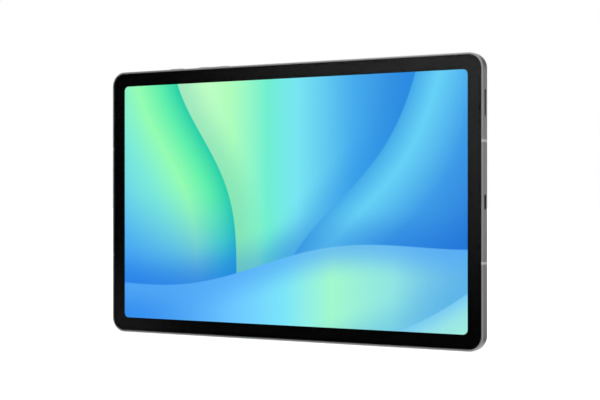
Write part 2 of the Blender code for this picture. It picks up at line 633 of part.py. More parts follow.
def make_speakers():
    """Speaker on each short side: box with a port to the wall, moving diaphragm and mesh grille."""
    near, far = SPEAKER_DEPTHS
    chamber_floor = far - INNER_WALL
    for side_name, side in (("right", 1), ("left", -1)):
        centre = at(side * SPEAKER_ACROSS, SPEAKER_UP, 0)
        box = build(f"speaker_box_{side_name}", "Y", [
            (chamber_floor, *CHAMBER, MOULDED_CORNER),
            (near, *CHAMBER, MOULDED_CORNER),
            (near, *SPEAKER_BOX, MOULDED_CORNER),
            (far, *SPEAKER_BOX, MOULDED_CORNER),
        ], centre, BLACK_PLASTIC, COARSE_STEPS)
        cut(box, f"speaker_port_{side_name}", "X",
            straight(SPEAKER_PORT, side_spans(side, 0.0, SPEAKER_BOX[0])),
            centre + Vector((0, MIDDLE_DEPTH, 0)))
        build(f"speaker_diaphragm_{side_name}", "Y",
              straight(DIAPHRAGM, (-DIAPHRAGM_HALF, DIAPHRAGM_HALF), DIAPHRAGM_CORNER),
              centre + Vector((0, DIAPHRAGM_DEPTH, 0)), POUCH)
        grille = (SPEAKER_SLOT[0] - 2 * STACK_GAP, SPEAKER_SLOT[1] - 2 * STACK_GAP)
        build(f"speaker_grille_{side_name}", "X",
              straight(grille, side_spans(side, GRILLE_SINK + GRILLE_THICKNESS, -GRILLE_SINK), grille[0] / 2),
              at(side * WIDTH / 2, SPEAKER_UP, MIDDLE_DEPTH), STEEL)


def make_front_camera():
    """Front camera's body and the lens under the cover glass."""
    build("front_camera_body", "Y", straight(FRONT_CAMERA_SIZE, FRONT_CAMERA_DEPTHS, CAMERA_CORNER),
          at(0, FRONT_CAMERA_UP, 0), CHIP_BLACK, COARSE_STEPS)
    near, far = FRONT_LENS_DEPTHS
    build("front_camera_lens", "Y", [
        disc(far, FRONT_LENS_RADIUS), disc(near + LENS_BEVEL, FRONT_LENS_RADIUS),
        disc(near, FRONT_LENS_RADIUS - LENS_BEVEL),
    ], at(0, FRONT_CAMERA_UP, 0), CLEAR_GLASS)


def make_rear_camera():
    """Rear camera: body, sensor, focusing barrel with its lens, ring and window."""
    axis_place = at(*REAR_CAMERA, 0)
    near, far = CAMERA_BODY_DEPTHS
    bore = BARREL_RADIUS + SIDE_GAP
    body = build("rear_camera_body", "Y", straight(CAMERA_BODY_SIZE, (near, far), CAMERA_CORNER), axis_place,
                 CHIP_BLACK, COARSE_STEPS)
    cut(body, "barrel_bore", "Y", [disc(near + INNER_WALL, bore), disc(far + OVERRUN, bore)], axis_place)
    sensor_near = near + INNER_WALL + STACK_GAP
    build("rear_camera_sensor", "Y", straight(SENSOR_SIZE, (sensor_near, sensor_near + SENSOR_THICKNESS)),
          axis_place, CHIP_BLACK)

    barrel_length = BARREL_DEPTHS[1] - BARREL_DEPTHS[0]
    barrel_place = axis_place + Vector((0, BARREL_DEPTHS[0], 0))
    seat = barrel_length - LENS_SEAT
    build("rear_camera_barrel", "Y", [
        disc(0.0, BARREL_RADIUS), disc(barrel_length, BARREL_RADIUS),
        disc(barrel_length, LENS_RADIUS + STACK_GAP), disc(seat, LENS_RADIUS + STACK_GAP),
    ], barrel_place, BLACK_PLASTIC, MEDIUM_STEPS)
    build("rear_camera_lens", "Y", [
        disc(seat + STACK_GAP, LENS_RADIUS), disc(barrel_length - STACK_GAP, LENS_RADIUS),
        disc(barrel_length, LENS_RADIUS / 2),
    ], barrel_place, CLEAR_GLASS)

    top = THICKNESS + CAMERA_RISE
    window_seat = top - WINDOW_SEAT
    build("rear_camera_ring", "Y", [
        disc(RING_START, RING_RADIUS),
        disc(top - RING_BEVEL, RING_RADIUS),
        disc(top, RING_RADIUS - RING_BEVEL),
        disc(top, WINDOW_RADIUS + STACK_GAP),
        disc(window_seat, WINDOW_RADIUS + STACK_GAP),
        disc(window_seat, RING_THROAT),
        disc(RING_START, RING_THROAT),
    ], axis_place, ALUMINIUM, MEDIUM_STEPS, closed=True)
    build("rear_camera_window", "Y",
          [disc(window_seat + STACK_GAP, WINDOW_RADIUS), disc(top - WINDOW_SINK, WINDOW_RADIUS)],
          axis_place, CLEAR_GLASS, MEDIUM_STEPS)


def key_stages(length):
    """Key seen along Z from its flange under the wall to its cap above it."""
    flange = (length + 2 * KEY_FLANGE, KEY_WIDTH + 2 * KEY_FLANGE, KEY_FLANGE)
    cap = (length, KEY_WIDTH, KEY_WIDTH / 2)
    crown = (length - 2 * KEY_BEVEL, KEY_WIDTH - 2 * KEY_BEVEL, KEY_WIDTH / 2 - KEY_BEVEL)
    return [
        (KEY_FLANGE_SPAN[0], *flange), (KEY_FLANGE_SPAN[1], *flange), (KEY_FLANGE_SPAN[1], *cap),
        (KEY_RISE - KEY_BEVEL, *cap), (KEY_RISE, *crown),
    ]


def make_keys():
    """Power key, volume rocker, the domes they press, their flat cable and bracket."""
    build("power_key", "Z", key_stages(POWER_LENGTH), at(POWER_ACROSS, HEIGHT / 2, MIDDLE_DEPTH), ALUMINIUM)
    rocker_pivot = at(VOLUME_ACROSS, HEIGHT / 2 + KEY_PIVOT, MIDDLE_DEPTH)
    stages = [(along - KEY_PIVOT, width, height, radius)
              for along, width, height, radius in key_stages(VOLUME_LENGTH)]
    rocker = build("volume_key", "Z", stages, rocker_pivot, ALUMINIUM)
    crown = KEY_RISE - KEY_PIVOT
    bottom, mouth = ROCKER_DIP
    cut(rocker, "rocker_dip", "Z", [
        (crown - ROCKER_DIP_DEPTH, bottom, 2 * KEY_WIDTH, 0.0),
        (crown + ROCKER_DIP_DEPTH, 2 * mouth - bottom, 2 * KEY_WIDTH, 0.0),
    ], rocker_pivot)
    for name, across in (("power_dome", POWER_ACROSS), ("volume_up_dome", VOLUME_ACROSS - DOME_SPREAD),
                         ("volume_down_dome", VOLUME_ACROSS + DOME_SPREAD)):
        build(name, "Z", [disc(DOME_SPAN[0], DOME_RADIUS), disc(DOME_SPAN[1], DOME_RADIUS / 2)],
              at(across, HEIGHT / 2, MIDDLE_DEPTH), STEEL, COARSE_STEPS)
    middle = (POWER_ACROSS - POWER_LENGTH / 2 + VOLUME_ACROSS + VOLUME_LENGTH / 2) / 2
    place = at(middle, HEIGHT / 2, MIDDLE_DEPTH)
    build("key_flex", "Z", straight(KEY_FLEX_SIZE, KEY_FLEX_SPAN), place, FLEX_AMBER)
    build("key_bracket", "Z", straight(KEY_BRACKET_SIZE, KEY_BRACKET_SPAN), place, STEEL)


def make_card_tray():
    """Card tray with its pocket, the socket it runs in, and the rod and lever that start it out."""
    face_place = at(-WIDTH / 2, TRAY_UP, MIDDLE_DEPTH)
    tray = build("card_tray", "X", [
        (0.0, TRAY_FACE[0] - 2 * TRAY_BEVEL, TRAY_FACE[1] - 2 * TRAY_BEVEL, TRAY_FACE[0] / 2 - TRAY_BEVEL),
        (TRAY_BEVEL, *TRAY_FACE, TRAY_FACE[0] / 2),
        (TRAY_FACE_DEPTH, *TRAY_FACE, TRAY_FACE[0] / 2),
        (TRAY_FACE_DEPTH, *TRAY_BODY, TRAY_BEVEL),
        (TRAY_LENGTH, *TRAY_BODY, TRAY_BEVEL),
    ], face_place, ALUMINIUM)
    pocket_place = face_place + Vector(((TRAY_FACE_DEPTH + TRAY_LENGTH) / 2, 0, 0))
    cut(tray, "card_pocket", "Y",
        straight(CARD_POCKET, (-TRAY_BODY[0], TRAY_BODY[0] / 2 - POCKET_FLOOR)), pocket_place)
    cut(tray, "eject_pinhole", "X",
        [disc(-OVERRUN, PINHOLE_RADIUS), disc(2 * TRAY_FACE_DEPTH, PINHOLE_RADIUS)],
        face_place + Vector((0, 0, ROD_OFFSET)), COARSE_STEPS)

    bore = (TRAY_BODY[0] + 2 * SIDE_GAP, TRAY_BODY[1] + 2 * SIDE_GAP)
    shell = (bore[0] + 2 * SOCKET_WALL, bore[1] + 2 * SOCKET_WALL)
    start, end = SOCKET_SPAN
    build("card_socket", "X", straight(shell, (start, end)) + straight(bore, (end, start)),
          face_place, STEEL, closed=True)
    build("eject_rod", "X", [disc(ROD_SPAN[0], ROD_RADIUS), disc(ROD_SPAN[1], ROD_RADIUS)],
          face_place + Vector((0, 0, ROD_OFFSET)), STEEL, COARSE_STEPS)
    make_eject_lever()


def make_eject_lever():
    """Lever on its pivot pin: the rod pushes its upper arm in, and its lower arm swings out."""
    pivot_place = at(*LEVER_PIVOT, MIDDLE_DEPTH)
    low, high = LEVER_ENDS
    outline = rounded_outline(2 * LEVER_HALF_WIDTH, high - low, LEVER_HALF_WIDTH, ROUND_STEPS)
    loops = [[Vector((across, along, up + (low + high) / 2)) for across, up in outline]
             for along in (-LEVER_HALF_THICKNESS, LEVER_HALF_THICKNESS)]
    lever = add_part("eject_lever", mesh_from_loops("eject_lever", loops), pivot_place, STEEL)
    hole = PIVOT_RADIUS + STACK_GAP
    cut(lever, "pivot_hole", "Y", [disc(-OVERRUN, hole), disc(OVERRUN, hole)], pivot_place)
    build("eject_pivot", "Y", [disc(-2 * LEVER_HALF_THICKNESS, PIVOT_RADIUS),
                               disc(FLOOR_DEPTH - MIDDLE_DEPTH - STACK_GAP, PIVOT_RADIUS)],
          pivot_place, STEEL)


def make_microphone():
    """Microphone behind its hole in the top edge."""
    build("microphone", "Z", straight(MICROPHONE_SIZE, MICROPHONE_SPAN),
          at(MICROPHONE_ACROSS, HEIGHT / 2, MIDDLE_DEPTH), STEEL)


def make_keyboard_contacts():
    """Plastic strip in the bottom edge with three keyboard contacts."""
    strip_place = at(0, -HEIGHT / 2, MIDDLE_DEPTH)
    strip = build("contact_strip", "Z", straight(CONTACT_STRIP, CONTACT_STRIP_SPAN, CONTACT_STRIP[1] / 2),
                  strip_place, BLACK_PLASTIC)
    hole = CONTACT_RADIUS + STACK_GAP
    for index, across in enumerate(CONTACT_ACROSS, start=1):
        place = at(across, -HEIGHT / 2, MIDDLE_DEPTH)
        cut(strip, f"strip_hole_{index}", "Z", [disc(-OVERRUN, hole), disc(2 * OVERRUN, hole)], place)
        build(f"contact_pin_{index}", "Z", [disc(along, CONTACT_RADIUS) for along in CONTACT_SPAN],
              place, GOLD)


def main():
    """Build the tablet."""
    clear_scene()
    make_housing()
    make_antenna_bands()
    make_screen()
    make_middle_plate()
    make_power_supply()
    make_mainboard()
    make_usb_port()
    make_speakers()
    make_front_camera()
    make_rear_camera()
    make_keys()
    make_card_tray()
    make_microphone()
    make_keyboard_contacts()


main()
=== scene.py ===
"""Looks of a tablet computer standing on its long edge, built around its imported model."""
import json
import math

import bmesh
import bpy
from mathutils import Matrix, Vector


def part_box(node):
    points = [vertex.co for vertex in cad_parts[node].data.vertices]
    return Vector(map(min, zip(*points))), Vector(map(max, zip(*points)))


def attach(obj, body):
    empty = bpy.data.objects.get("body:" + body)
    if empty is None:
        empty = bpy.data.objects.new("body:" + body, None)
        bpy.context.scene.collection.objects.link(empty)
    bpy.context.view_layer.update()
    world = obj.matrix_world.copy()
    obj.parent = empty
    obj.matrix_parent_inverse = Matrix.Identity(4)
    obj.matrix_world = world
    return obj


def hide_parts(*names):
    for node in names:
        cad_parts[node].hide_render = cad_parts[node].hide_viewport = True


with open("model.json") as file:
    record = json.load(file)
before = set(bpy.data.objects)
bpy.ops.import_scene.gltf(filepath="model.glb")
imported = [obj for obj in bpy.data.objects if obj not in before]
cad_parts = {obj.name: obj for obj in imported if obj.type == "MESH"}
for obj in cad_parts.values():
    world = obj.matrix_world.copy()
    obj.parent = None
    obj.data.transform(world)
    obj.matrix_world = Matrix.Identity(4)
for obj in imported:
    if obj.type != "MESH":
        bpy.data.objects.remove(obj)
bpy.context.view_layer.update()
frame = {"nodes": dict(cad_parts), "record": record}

MM = 0.001

# Places read from the frame
HOUSING_LOW, HOUSING_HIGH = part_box("rear_housing")
WIDTH = HOUSING_HIGH.x - HOUSING_LOW.x
HEIGHT = HOUSING_HIGH.z - HOUSING_LOW.z
THICKNESS = HOUSING_HIGH.y - HOUSING_LOW.y
FRONT_Y = HOUSING_LOW.y
BACK_Y = HOUSING_HIGH.y
MIDDLE_Y = (FRONT_Y + BACK_Y) / 2
CENTRE_Z = (HOUSING_LOW.z + HOUSING_HIGH.z) / 2
TOP_Z = HOUSING_HIGH.z
GLASS_LOW, GLASS_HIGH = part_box("front_glass")
GLASS_SIZE = (GLASS_HIGH.x - GLASS_LOW.x, GLASS_HIGH.z - GLASS_LOW.z)
GLASS_THICKNESS = GLASS_HIGH.y - GLASS_LOW.y

# Section of the housing, and how far cutters overrun
CORNER_RADIUS = 9.0 * MM
EDGE_RADIUS = 0.65 * MM
RIM = 1.1 * MM
RIM_BREAK = 0.06 * MM
WALL = 2.85 * MM
LEDGE_DEPTH = 1.5 * MM
FLOOR_DEPTH = 5.6 * MM
LIP = 0.08 * MM
OVERRUN = 1.0 * MM

# Screen
GLASS_RADIUS = CORNER_RADIUS - (WIDTH - GLASS_SIZE[0]) / 2
ACTIVE_WIDTH = 235.5 * MM
ACTIVE_HEIGHT = 147.2 * MM
ACTIVE_CORNER = 2.9 * MM
GLASS_BEVEL = 0.18 * MM
PRINT_GAP = 0.02 * MM
PRINT_THICKNESS = 0.06 * MM
PRINT_INSET = 0.15 * MM
SEAL_WIDTH = 1.4 * MM
SEAL_SINK = 0.12 * MM
CAMERA_APERTURE = 1.15 * MM

# Openings and small parts
SIDES = {"right": 1, "left": -1}
STACK_GAP = 0.15 * MM
SIDE_GAP = 0.3 * MM
MOVING_GAP = 0.2 * MM
BAND_WIDTH = 1.5 * MM
BAND_SLIT = 0.02 * MM
SPEAKER_SLOT = (2.0 * MM, 15.1 * MM)
USB_MOUTH = (2.6 * MM, 8.6 * MM)
USB_WALL = 0.3 * MM
# Wall of the black sleeve that paints the shade inside the charging mouth
SHADE_SLEEVE_WALL = 0.05 * MM
KEY_WIDTH = 2.0 * MM
KEY_FLANGE = 0.8 * MM
KEY_FLANGE_HEIGHT = 0.65 * MM
KEY_EDGE = 0.28 * MM
ROCKER_DIP = (4.0 * MM, 10.0 * MM)
ROCKER_DIP_DEPTH = 0.13 * MM
TRAY_BODY = (1.0 * MM, 13.4 * MM)
TRAY_FACE_DEPTH = 1.1 * MM
TRAY_EDGE = 0.2 * MM
CARD_POCKET = (12.6 * MM, 11.4 * MM)
POCKET_FLOOR = 0.3 * MM
PINHOLE_RADIUS = 0.4 * MM
SCREWS = 6
BOSS_RADIUS = 2.0 * MM
BOSS_HOLE_RADIUS = 1.0 * MM
RING_HOLE = 6.25 * MM
MICROPHONE_HOLE = 0.45 * MM
CONTACTS = 3
CONTACT_RECESS = 1.2 * MM

# Grilles, tongue, card pocket and cameras
GRILLE_PITCH = 0.72 * MM
GRILLE_ROW = 0.38 * MM
GRILLE_HOLE = 0.26 * MM
TONGUE_CONTACTS = 12
TONGUE_PITCH = 0.5 * MM
TONGUE_CONTACT = (3.2 * MM, 0.05 * MM, 0.26 * MM)
TONGUE_TIP = 0.45 * MM
CARD_CORNER = 0.8 * MM
RING_THROAT = 3.7 * MM
RING_EDGE = 0.22 * MM
BARREL_RINGS = 3
BARREL_STEP = 0.2 * MM
LENS_FLANK = 0.35

# Painted reflection tint of each camera glass's coating, laid in a ring around its axis, and its refraction
LENSES = {
    "rear_camera_window": ((0.004, 0.005, 0.008), 1.5),
    "rear_camera_lens": ((0.010, 0.020, 0.060), 1.5),
    "front_camera_lens": ((0.004, 0.006, 0.012), 1.3),
}

# Studio
# Light from all round: its strength from below and from above, and the rises between which it grows
AMBIENT = (1.0, 1.08)
AMBIENT_RISE = (-0.6, 0.7)
# Dark flags: turn and rise in degrees, angles of full and of no effect, and share of light taken
FLAGS = (
    ((33, -1), 16, 30, 0.96),
    ((-150, 10), 24, 44, 0.75),
    ((46, -28), 10, 20, 0.7),
)
# Bright cards: turn and rise in degrees, angles of full and of no effect, and strength
CARDS = (
    ((15, 17), 2, 24, 1.2),
    ((44, -11), 2, 12, 0.65),
    ((-150, 1.5), 1, 10, 1.45),
    ((118, 6), 14, 34, 3.6),
    ((60, -62), 25, 55, 0.9),
)
# Floor and lamp, in metres and watts
FLOOR_SIZE = 30.0
FLOOR_CORNER = 10.0
FLOOR_THICKNESS = 0.02
FLOOR_CLEARANCE = 0.02 * MM
FLOOR_GLOW = 0.68
LAMP_PLACE = (-0.3, -0.6, 1.4)
LAMP_SIZE = 0.9
LAMP_POWER = 6.0
# Camera: place in metres, turn in degrees, lens and sensor in millimetres, shift in sensor widths
CAMERA_ACROSS = 0.4064
CAMERA_FRONT = -0.69935
CAMERA_TURN = 29.585
CAMERA_LENS = 81.096
CAMERA_SENSOR = 36.0
CAMERA_SHIFT = 0.00325

# Points per quarter turn
CORNER_STEPS = 28
EDGE_STEPS = 8
HOLE_STEPS = 14
SMALL_STEPS = 8
ROUND_STEPS = 4

# Points nearer than this are one, and edges sharper than this angle stay hard
MERGE_DISTANCE = MM / 1000
SHARP_ANGLE = 30

# Wallpaper, in units of the screen's height: reach and share of the shade under a crest, and its blur
SHADE_REACH = 0.16
SHADE_SHARE = 0.42
CREST_BLUR = 0.0022

# Hidden pieces' slots whose finish has another name
HIDDEN_FINISHES = {"magnesium": "cast_magnesium", "steel": "brushed_steel"}


# ---- shapes

def rounded_outline(width, height, radius, steps):
    """Outline of a rounded rectangle around (0, 0), counter-clockwise."""
    points = []
    for quarter, (side_x, side_y) in enumerate(((1, 1), (-1, 1), (-1, -1), (1, -1))):
        centre_x = side_x * (width / 2 - radius)
        centre_y = side_y * (height / 2 - radius)
        for step in range(steps + 1):
            angle = math.pi / 2 * (quarter + step / steps)
            points.append((centre_x + radius * math.cos(angle), centre_y + radius * math.sin(angle)))
    return points


def on_axis(axis, first, second, along):
    """Local point of an outline square to an axis: X takes Y and Z, Y takes X and Z, Z takes X and Y."""
    if axis == "X":
        return Vector((along, first, second))
    if axis == "Y":
        return Vector((first, along, second))
    return Vector((first, second, along))


def skin(shape, loops, closed=False):
    """Add a skin through loops of points to a bmesh, capped at both ends unless it closes on itself."""
    rings = [[shape.verts.new(point) for point in loop] for loop in loops]
    followers = rings[1:] + rings[:1] if closed else rings[1:]
    for ring, follower in zip(rings, followers):
        for index in range(len(ring)):
            after = (index + 1) % len(ring)
            shape.faces.new((ring[index], ring[after], follower[after], follower[index]))
    if not closed:
        shape.faces.new(rings[0])
        shape.faces.new(rings[-1])


def staged_loops(axis, stages, steps):
    """Loops of points for stages, each (along, width, height, corner radius), square to the axis."""
    loops = []
    for along, width, height, radius in stages:
        outline = rounded_outline(width, height, radius, steps)
        loops.append([on_axis(axis, first, second, along) for first, second in outline])
    return loops


def finish_mesh(name, shape):
    """Turn a bmesh into a mesh, with doubled points merged and its faces turned out."""
    bmesh.ops.remove_doubles(shape, verts=shape.verts, dist=MERGE_DISTANCE)
    bmesh.ops.recalc_face_normals(shape, faces=shape.faces)
    mesh = bpy.data.meshes.new(name)
    shape.to_mesh(mesh)
    shape.free()
    return mesh


def add_object(name, mesh, place):
    """Object that shows a mesh at a place."""
    item = bpy.data.objects.new(name, mesh)
    item.location = place
    bpy.context.scene.collection.objects.link(item)
    return item


def staged(name, axis, stages, place, steps=HOLE_STEPS, closed=False):
    """Object whose skin runs through stages."""
    shape = bmesh.new()
    skin(shape, staged_loops(axis, stages, steps), closed)
    return add_object(name, finish_mesh(name, shape), place)


def disc(along, radius):
    """Stage that is a circle."""
    return (along, 2 * radius, 2 * radius, radius)


def rounded_edge(size, radius, at_along, inwards, edge):
    """Stages that round off an end: from full size to the end face, which lies at at_along."""
    stages = []
    for step in range(ROUND_STEPS + 1):
        angle = math.pi / 2 * step / ROUND_STEPS
        inset = edge * (1 - math.cos(angle))
        along = at_along + inwards * edge * (1 - math.sin(angle))
        stages.append((along, size[0] - 2 * inset, size[1] - 2 * inset, radius - inset))
    return stages


def boolean(item, other, operation):
    """Cut, join or intersect an object with another, which is then removed."""
    modifier = item.modifiers.new(operation, "BOOLEAN")
    modifier.object = other
    modifier.operation = operation
    bake_modifiers(item)
    bpy.data.objects.remove(other, do_unlink=True)


def bake_modifiers(item):
    """Replace an object's mesh by what its modifiers make of it."""
    bpy.context.view_layer.update()
    evaluated = item.evaluated_get(bpy.context.evaluated_depsgraph_get())
    item.data = bpy.data.meshes.new_from_object(evaluated)
    item.modifiers.clear()


def open_slot(item, axis, size, spans, place, radius, flare_at=None, steps=HOLE_STEPS):
    """Cut a slot along an axis, with its edge broken where it opens at flare_at."""
    low, high = spans
    stages = [(low, *size, radius), (high, *size, radius)]
    if flare_at is not None:
        out = 1 if high > low else -1
        wide = (size[0] + 2 * LIP, size[1] + 2 * LIP, radius + LIP)
        stages = [(low, *size, radius), (flare_at - out * LIP, *size, radius),
                  (flare_at, *wide), (high, *wide)]
    cutter = staged("cutter", axis, stages, place, steps)
    boolean(item, cutter, "DIFFERENCE")


def open_hole(item, axis, diameter, spans, place, flare_at=None, steps=HOLE_STEPS):
    """Cut a round hole along an axis."""
    open_slot(item, axis, (diameter, diameter), spans, place, diameter / 2, flare_at, steps)


def smooth(item):
    """Smooth shading that leaves sharp edges hard and flat faces flat."""
    item.data.shade_smooth()
    item.data.set_sharp_from_angle(angle=math.radians(SHARP_ANGLE))
    modifier = item.modifiers.new("flat_faces_stay_flat", "WEIGHTED_NORMAL")
    modifier.keep_sharp = True
    return item


def middle(node):
    """Middle of a CAD node's box."""
    low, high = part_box(node)
    return (low + high) / 2


def axis_of(node):
    """Middle of a CAD node's box, brought to Y = 0."""
    centre = middle(node)
    return Vector((centre.x, 0, centre.z))


def size_of(node):
    """Size of a CAD node's box."""
    low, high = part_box(node)
    return high - low


def body_of(node):
    """CAD body that a node belongs to."""
    for body, members in frame["record"]["behaviour"]["bodies"].items():
        if node in members:
            return body
    raise ValueError(f"no body holds {node}")


def slot_of(node):
    """Material slot that the record gives a node."""
    for row in frame["record"]["subparts"]:
        if row["node"] == node:
            return row["material_slot"]
    raise ValueError(f"no slot for {node}")


def paint(item, material):
    """Give an object one material."""
    item.data.materials.clear()
    item.data.materials.append(material)


def stand_for(item, node, material):
    """Let a piece take a CAD node's place, with its body and a material."""
    paint(item, material)
    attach(item, body_of(node))
    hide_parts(node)


def add_detail(item, body, material):
    """Let a piece that is no CAD node ride on a body."""
    paint(item, material)
    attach(item, body)


# ---- materials

class Graph:
    """A node tree, with short calls that add its nodes."""

    def __init__(self, tree):
        self.tree = tree

    def node(self, kind, inputs=None, **settings):
        """Add a node, with its settings and with values or links for its inputs."""
        made = self.tree.nodes.new(kind)
        for key, value in settings.items():
            setattr(made, key, value)
        for key, value in (inputs or {}).items():
            self.feed(made.inputs[key], value)
        return made

    def feed(self, socket, value):
        """Link an output to a socket, or set the socket's value."""
        if isinstance(value, bpy.types.NodeSocket):
            self.tree.links.new(value, socket)
        else:
            socket.default_value = value

    def maths(self, operation, *values):
        """One Math node."""
        return self.node("ShaderNodeMath", dict(enumerate(values)), operation=operation).outputs[0]

    def dot(self, vector, direction):
        """How far a vector goes along a direction."""
        made = self.node("ShaderNodeVectorMath", {0: vector, 1: direction}, operation="DOT_PRODUCT")
        return made.outputs["Value"]

    def span(self, value, low, high, to_low=0.0, to_high=1.0):
        """Map a value from one range to another, eased at both ends."""
        made = self.node("ShaderNodeMapRange", {
            "Value": value, "From Min": low, "From Max": high, "To Min": to_low, "To Max": to_high},
            interpolation_type="SMOOTHSTEP")
        return made.outputs["Result"]

    def ramp(self, value, stops):
        """Colour ramp through (position, colour) stops."""
        made = self.node("ShaderNodeValToRGB", {"Fac": value})
        elements = made.color_ramp.elements
        while len(elements) < len(stops):
            elements.new(0.5)
        for element, (position, shade) in zip(elements, stops):
            element.position = position
            element.color = (*shade[:3], 1.0)
        return made.outputs["Color"]

    def mix(self, share, first, second):
        """Mix two colours."""
        return self.node("ShaderNodeMix", {0: share, 6: first, 7: second}, data_type="RGBA").outputs[2]


class Finish(Graph):
    """A material under construction around one Principled shader."""

    def __init__(self, name, **constants):
        self.material = bpy.data.materials.new(name + "_finish")
        self.material.use_nodes = True
        super().__init__(self.material.node_tree)
        self.shader = self.tree.nodes["Principled BSDF"]
        for key, value in constants.items():
            self.shader.inputs[key.replace("_", " ")].default_value = value

    def drive(self, key, value):
        """Feed one of the shader's inputs."""
        self.feed(self.shader.inputs[key], value)

    def place(self):
        """Object coordinates, in metres."""
        return self.node("ShaderNodeTexCoord").outputs["Object"]

    def face_place(self):
        """Object coordinates in the plane square to Y, in which the boards and films lie."""
        parts = self.node("ShaderNodeSeparateXYZ", {"Vector": self.place()}).outputs
        flat = self.node("ShaderNodeCombineXYZ", {"X": parts["X"], "Y": parts["Z"], "Z": 0.0})
        return flat.outputs["Vector"]

    def noise(self, scale, detail=2.0):
        """Noise over the object's own coordinates."""
        made = self.node("ShaderNodeTexNoise", {"Vector": self.place(), "Scale": scale, "Detail": detail})
        return made.outputs[0]

    def bump(self, height, strength, distance):
        """Bump the surface by a height."""
        made = self.node("ShaderNodeBump", {"Height": height, "Strength": strength, "Distance": distance})
        self.drive("Normal", made.outputs["Normal"])

    def grain(self, scale, strength, distance):
        """Fine even grain, as blasting or moulding leaves it."""
        self.bump(self.noise(scale, 1.0), strength, distance)


def colour(red, green, blue):
    """Linear colour with alpha from screen levels of 0 to 255."""
    levels = [level / 255 for level in (red, green, blue)]
    linear = [level / 12.92 if level <= 0.04045 else ((level + 0.055) / 1.055) ** 2.4 for level in levels]
    return (*linear, 1.0)


def varied(finish, base, spread, scale):
    """Base colour that drifts a little, darker and lighter, over the surface."""
    dark = tuple(channel * (1 - spread) for channel in base)
    light = tuple(channel * (1 + spread) for channel in base)
    finish.drive("Base Color", finish.ramp(finish.noise(scale, 3.0), [(0.35, dark), (0.65, light)]))


def varied_roughness(finish, low, high, scale):
    """Roughness that drifts between two values over the surface."""
    finish.drive("Roughness", finish.span(finish.noise(scale, 4.0), 0.3, 0.7, low, high))


def anodised_aluminium():
    """Blasted and anodised aluminium: satin, with fine even grain."""
    finish = Finish("anodised_aluminium", Metallic=1.0)
    varied(finish, (0.255, 0.267, 0.263), 0.012, 60)
    varied_roughness(finish, 0.35, 0.38, 140)
    finish.grain(5200, 0.16, 0.00003)
    return finish.material


def polished_aluminium():
    """Turned and polished aluminium, lighter and smoother than the housing's."""
    finish = Finish("polished_aluminium", Metallic=1.0)
    varied(finish, (0.30, 0.31, 0.31), 0.03, 120)
    varied_roughness(finish, 0.14, 0.20, 300)
    finish.grain(3000, 0.05, 0.00002)
    return finish.material


def antenna_plastic():
    """Moulded plastic that fills the antenna slits, blasted with the housing."""
    finish = Finish("antenna_plastic")
    varied(finish, (0.35, 0.365, 0.36), 0.04, 400)
    varied_roughness(finish, 0.42, 0.52, 500)
    finish.grain(5200, 0.12, 0.00002)
    return finish.material


def cover_glass():
    """Clear cover glass with an anti-reflective coat and the faintest of smears."""
    finish = Finish("cover_glass", Transmission_Weight=1.0, IOR=1.1)
    finish.drive("Roughness", finish.span(finish.noise(30), 0.35, 0.75, 0.0, 0.008))
    tints = [(0.4, (0.985, 0.99, 0.99)), (0.6, (0.99, 0.99, 0.985))]
    finish.drive("Base Color", finish.ramp(finish.noise(12), tints))
    return finish.material


def camera_glass(node, coating_reflection_tint, refraction):
    """Coated lens glass: black on its axis as painted shade for the dark inside seen through it, with a
    painted reflection of its coating in a tinted ring around it.
    """
    finish = Finish(node, IOR=refraction)
    off_axis = finish.node("ShaderNodeVectorMath", {0: finish.face_place()}, operation="LENGTH")
    share = finish.maths("DIVIDE", off_axis.outputs["Value"], size_of(node).x / 2)
    # Painted shade on the axis, painted coating reflection in the tinted ring
    rings = [(0.0, (0.002, 0.002, 0.004)), (0.45, (0.002, 0.002, 0.004)), (0.75, coating_reflection_tint),
             (1.0, (0.003, 0.003, 0.004))]
    finish.drive("Base Color", finish.ramp(share, rings))
    finish.drive("Roughness", finish.span(finish.noise(900), 0.3, 0.7, 0.02, 0.06))
    return finish.material


def border_ink():
    """Black ink printed on the back of the cover glass, as smooth as the glass."""
    finish = Finish("border_ink", IOR=1.32)
    varied(finish, (0.0010, 0.0010, 0.0011), 0.15, 700)
    varied_roughness(finish, 0.02, 0.05, 60)
    return finish.material


def black_seal():
    """Soft black sealing bead between glass and metal."""
    finish = Finish("black_seal", IOR=1.2)
    varied(finish, (0.006, 0.006, 0.006), 0.2, 600)
    varied_roughness(finish, 0.5, 0.7, 800)
    finish.grain(9000, 0.2, 0.00002)
    return finish.material


def black_plastic():
    """Glass-filled black moulding."""
    finish = Finish("black_plastic")
    varied(finish, (0.014, 0.014, 0.015), 0.2, 300)
    varied_roughness(finish, 0.42, 0.6, 500)
    finish.grain(4000, 0.2, 0.00003)
    return finish.material


def white_diffuser():
    """Milky film stack that spreads the backlight."""
    finish = Finish("white_diffuser", Subsurface_Weight=0.2)
    varied(finish, (0.78, 0.79, 0.80), 0.02, 60)
    varied_roughness(finish, 0.35, 0.45, 200)
    return finish.material


def cast_magnesium():
    """Die-cast magnesium plate with flow marks."""
    finish = Finish("cast_magnesium", Metallic=1.0)
    varied(finish, (0.36, 0.36, 0.38), 0.12, 25)
    varied_roughness(finish, 0.42, 0.62, 60)
    finish.grain(1500, 0.3, 0.00005)
    return finish.material


def battery_pouch():
    """Silvery laminated foil, softly creased."""
    finish = Finish("battery_pouch", Metallic=0.85)
    varied(finish, (0.30, 0.31, 0.33), 0.06, 30)
    varied_roughness(finish, 0.26, 0.42, 80)
    finish.bump(finish.noise(220, 4.0), 0.35, 0.0002)
    return finish.material


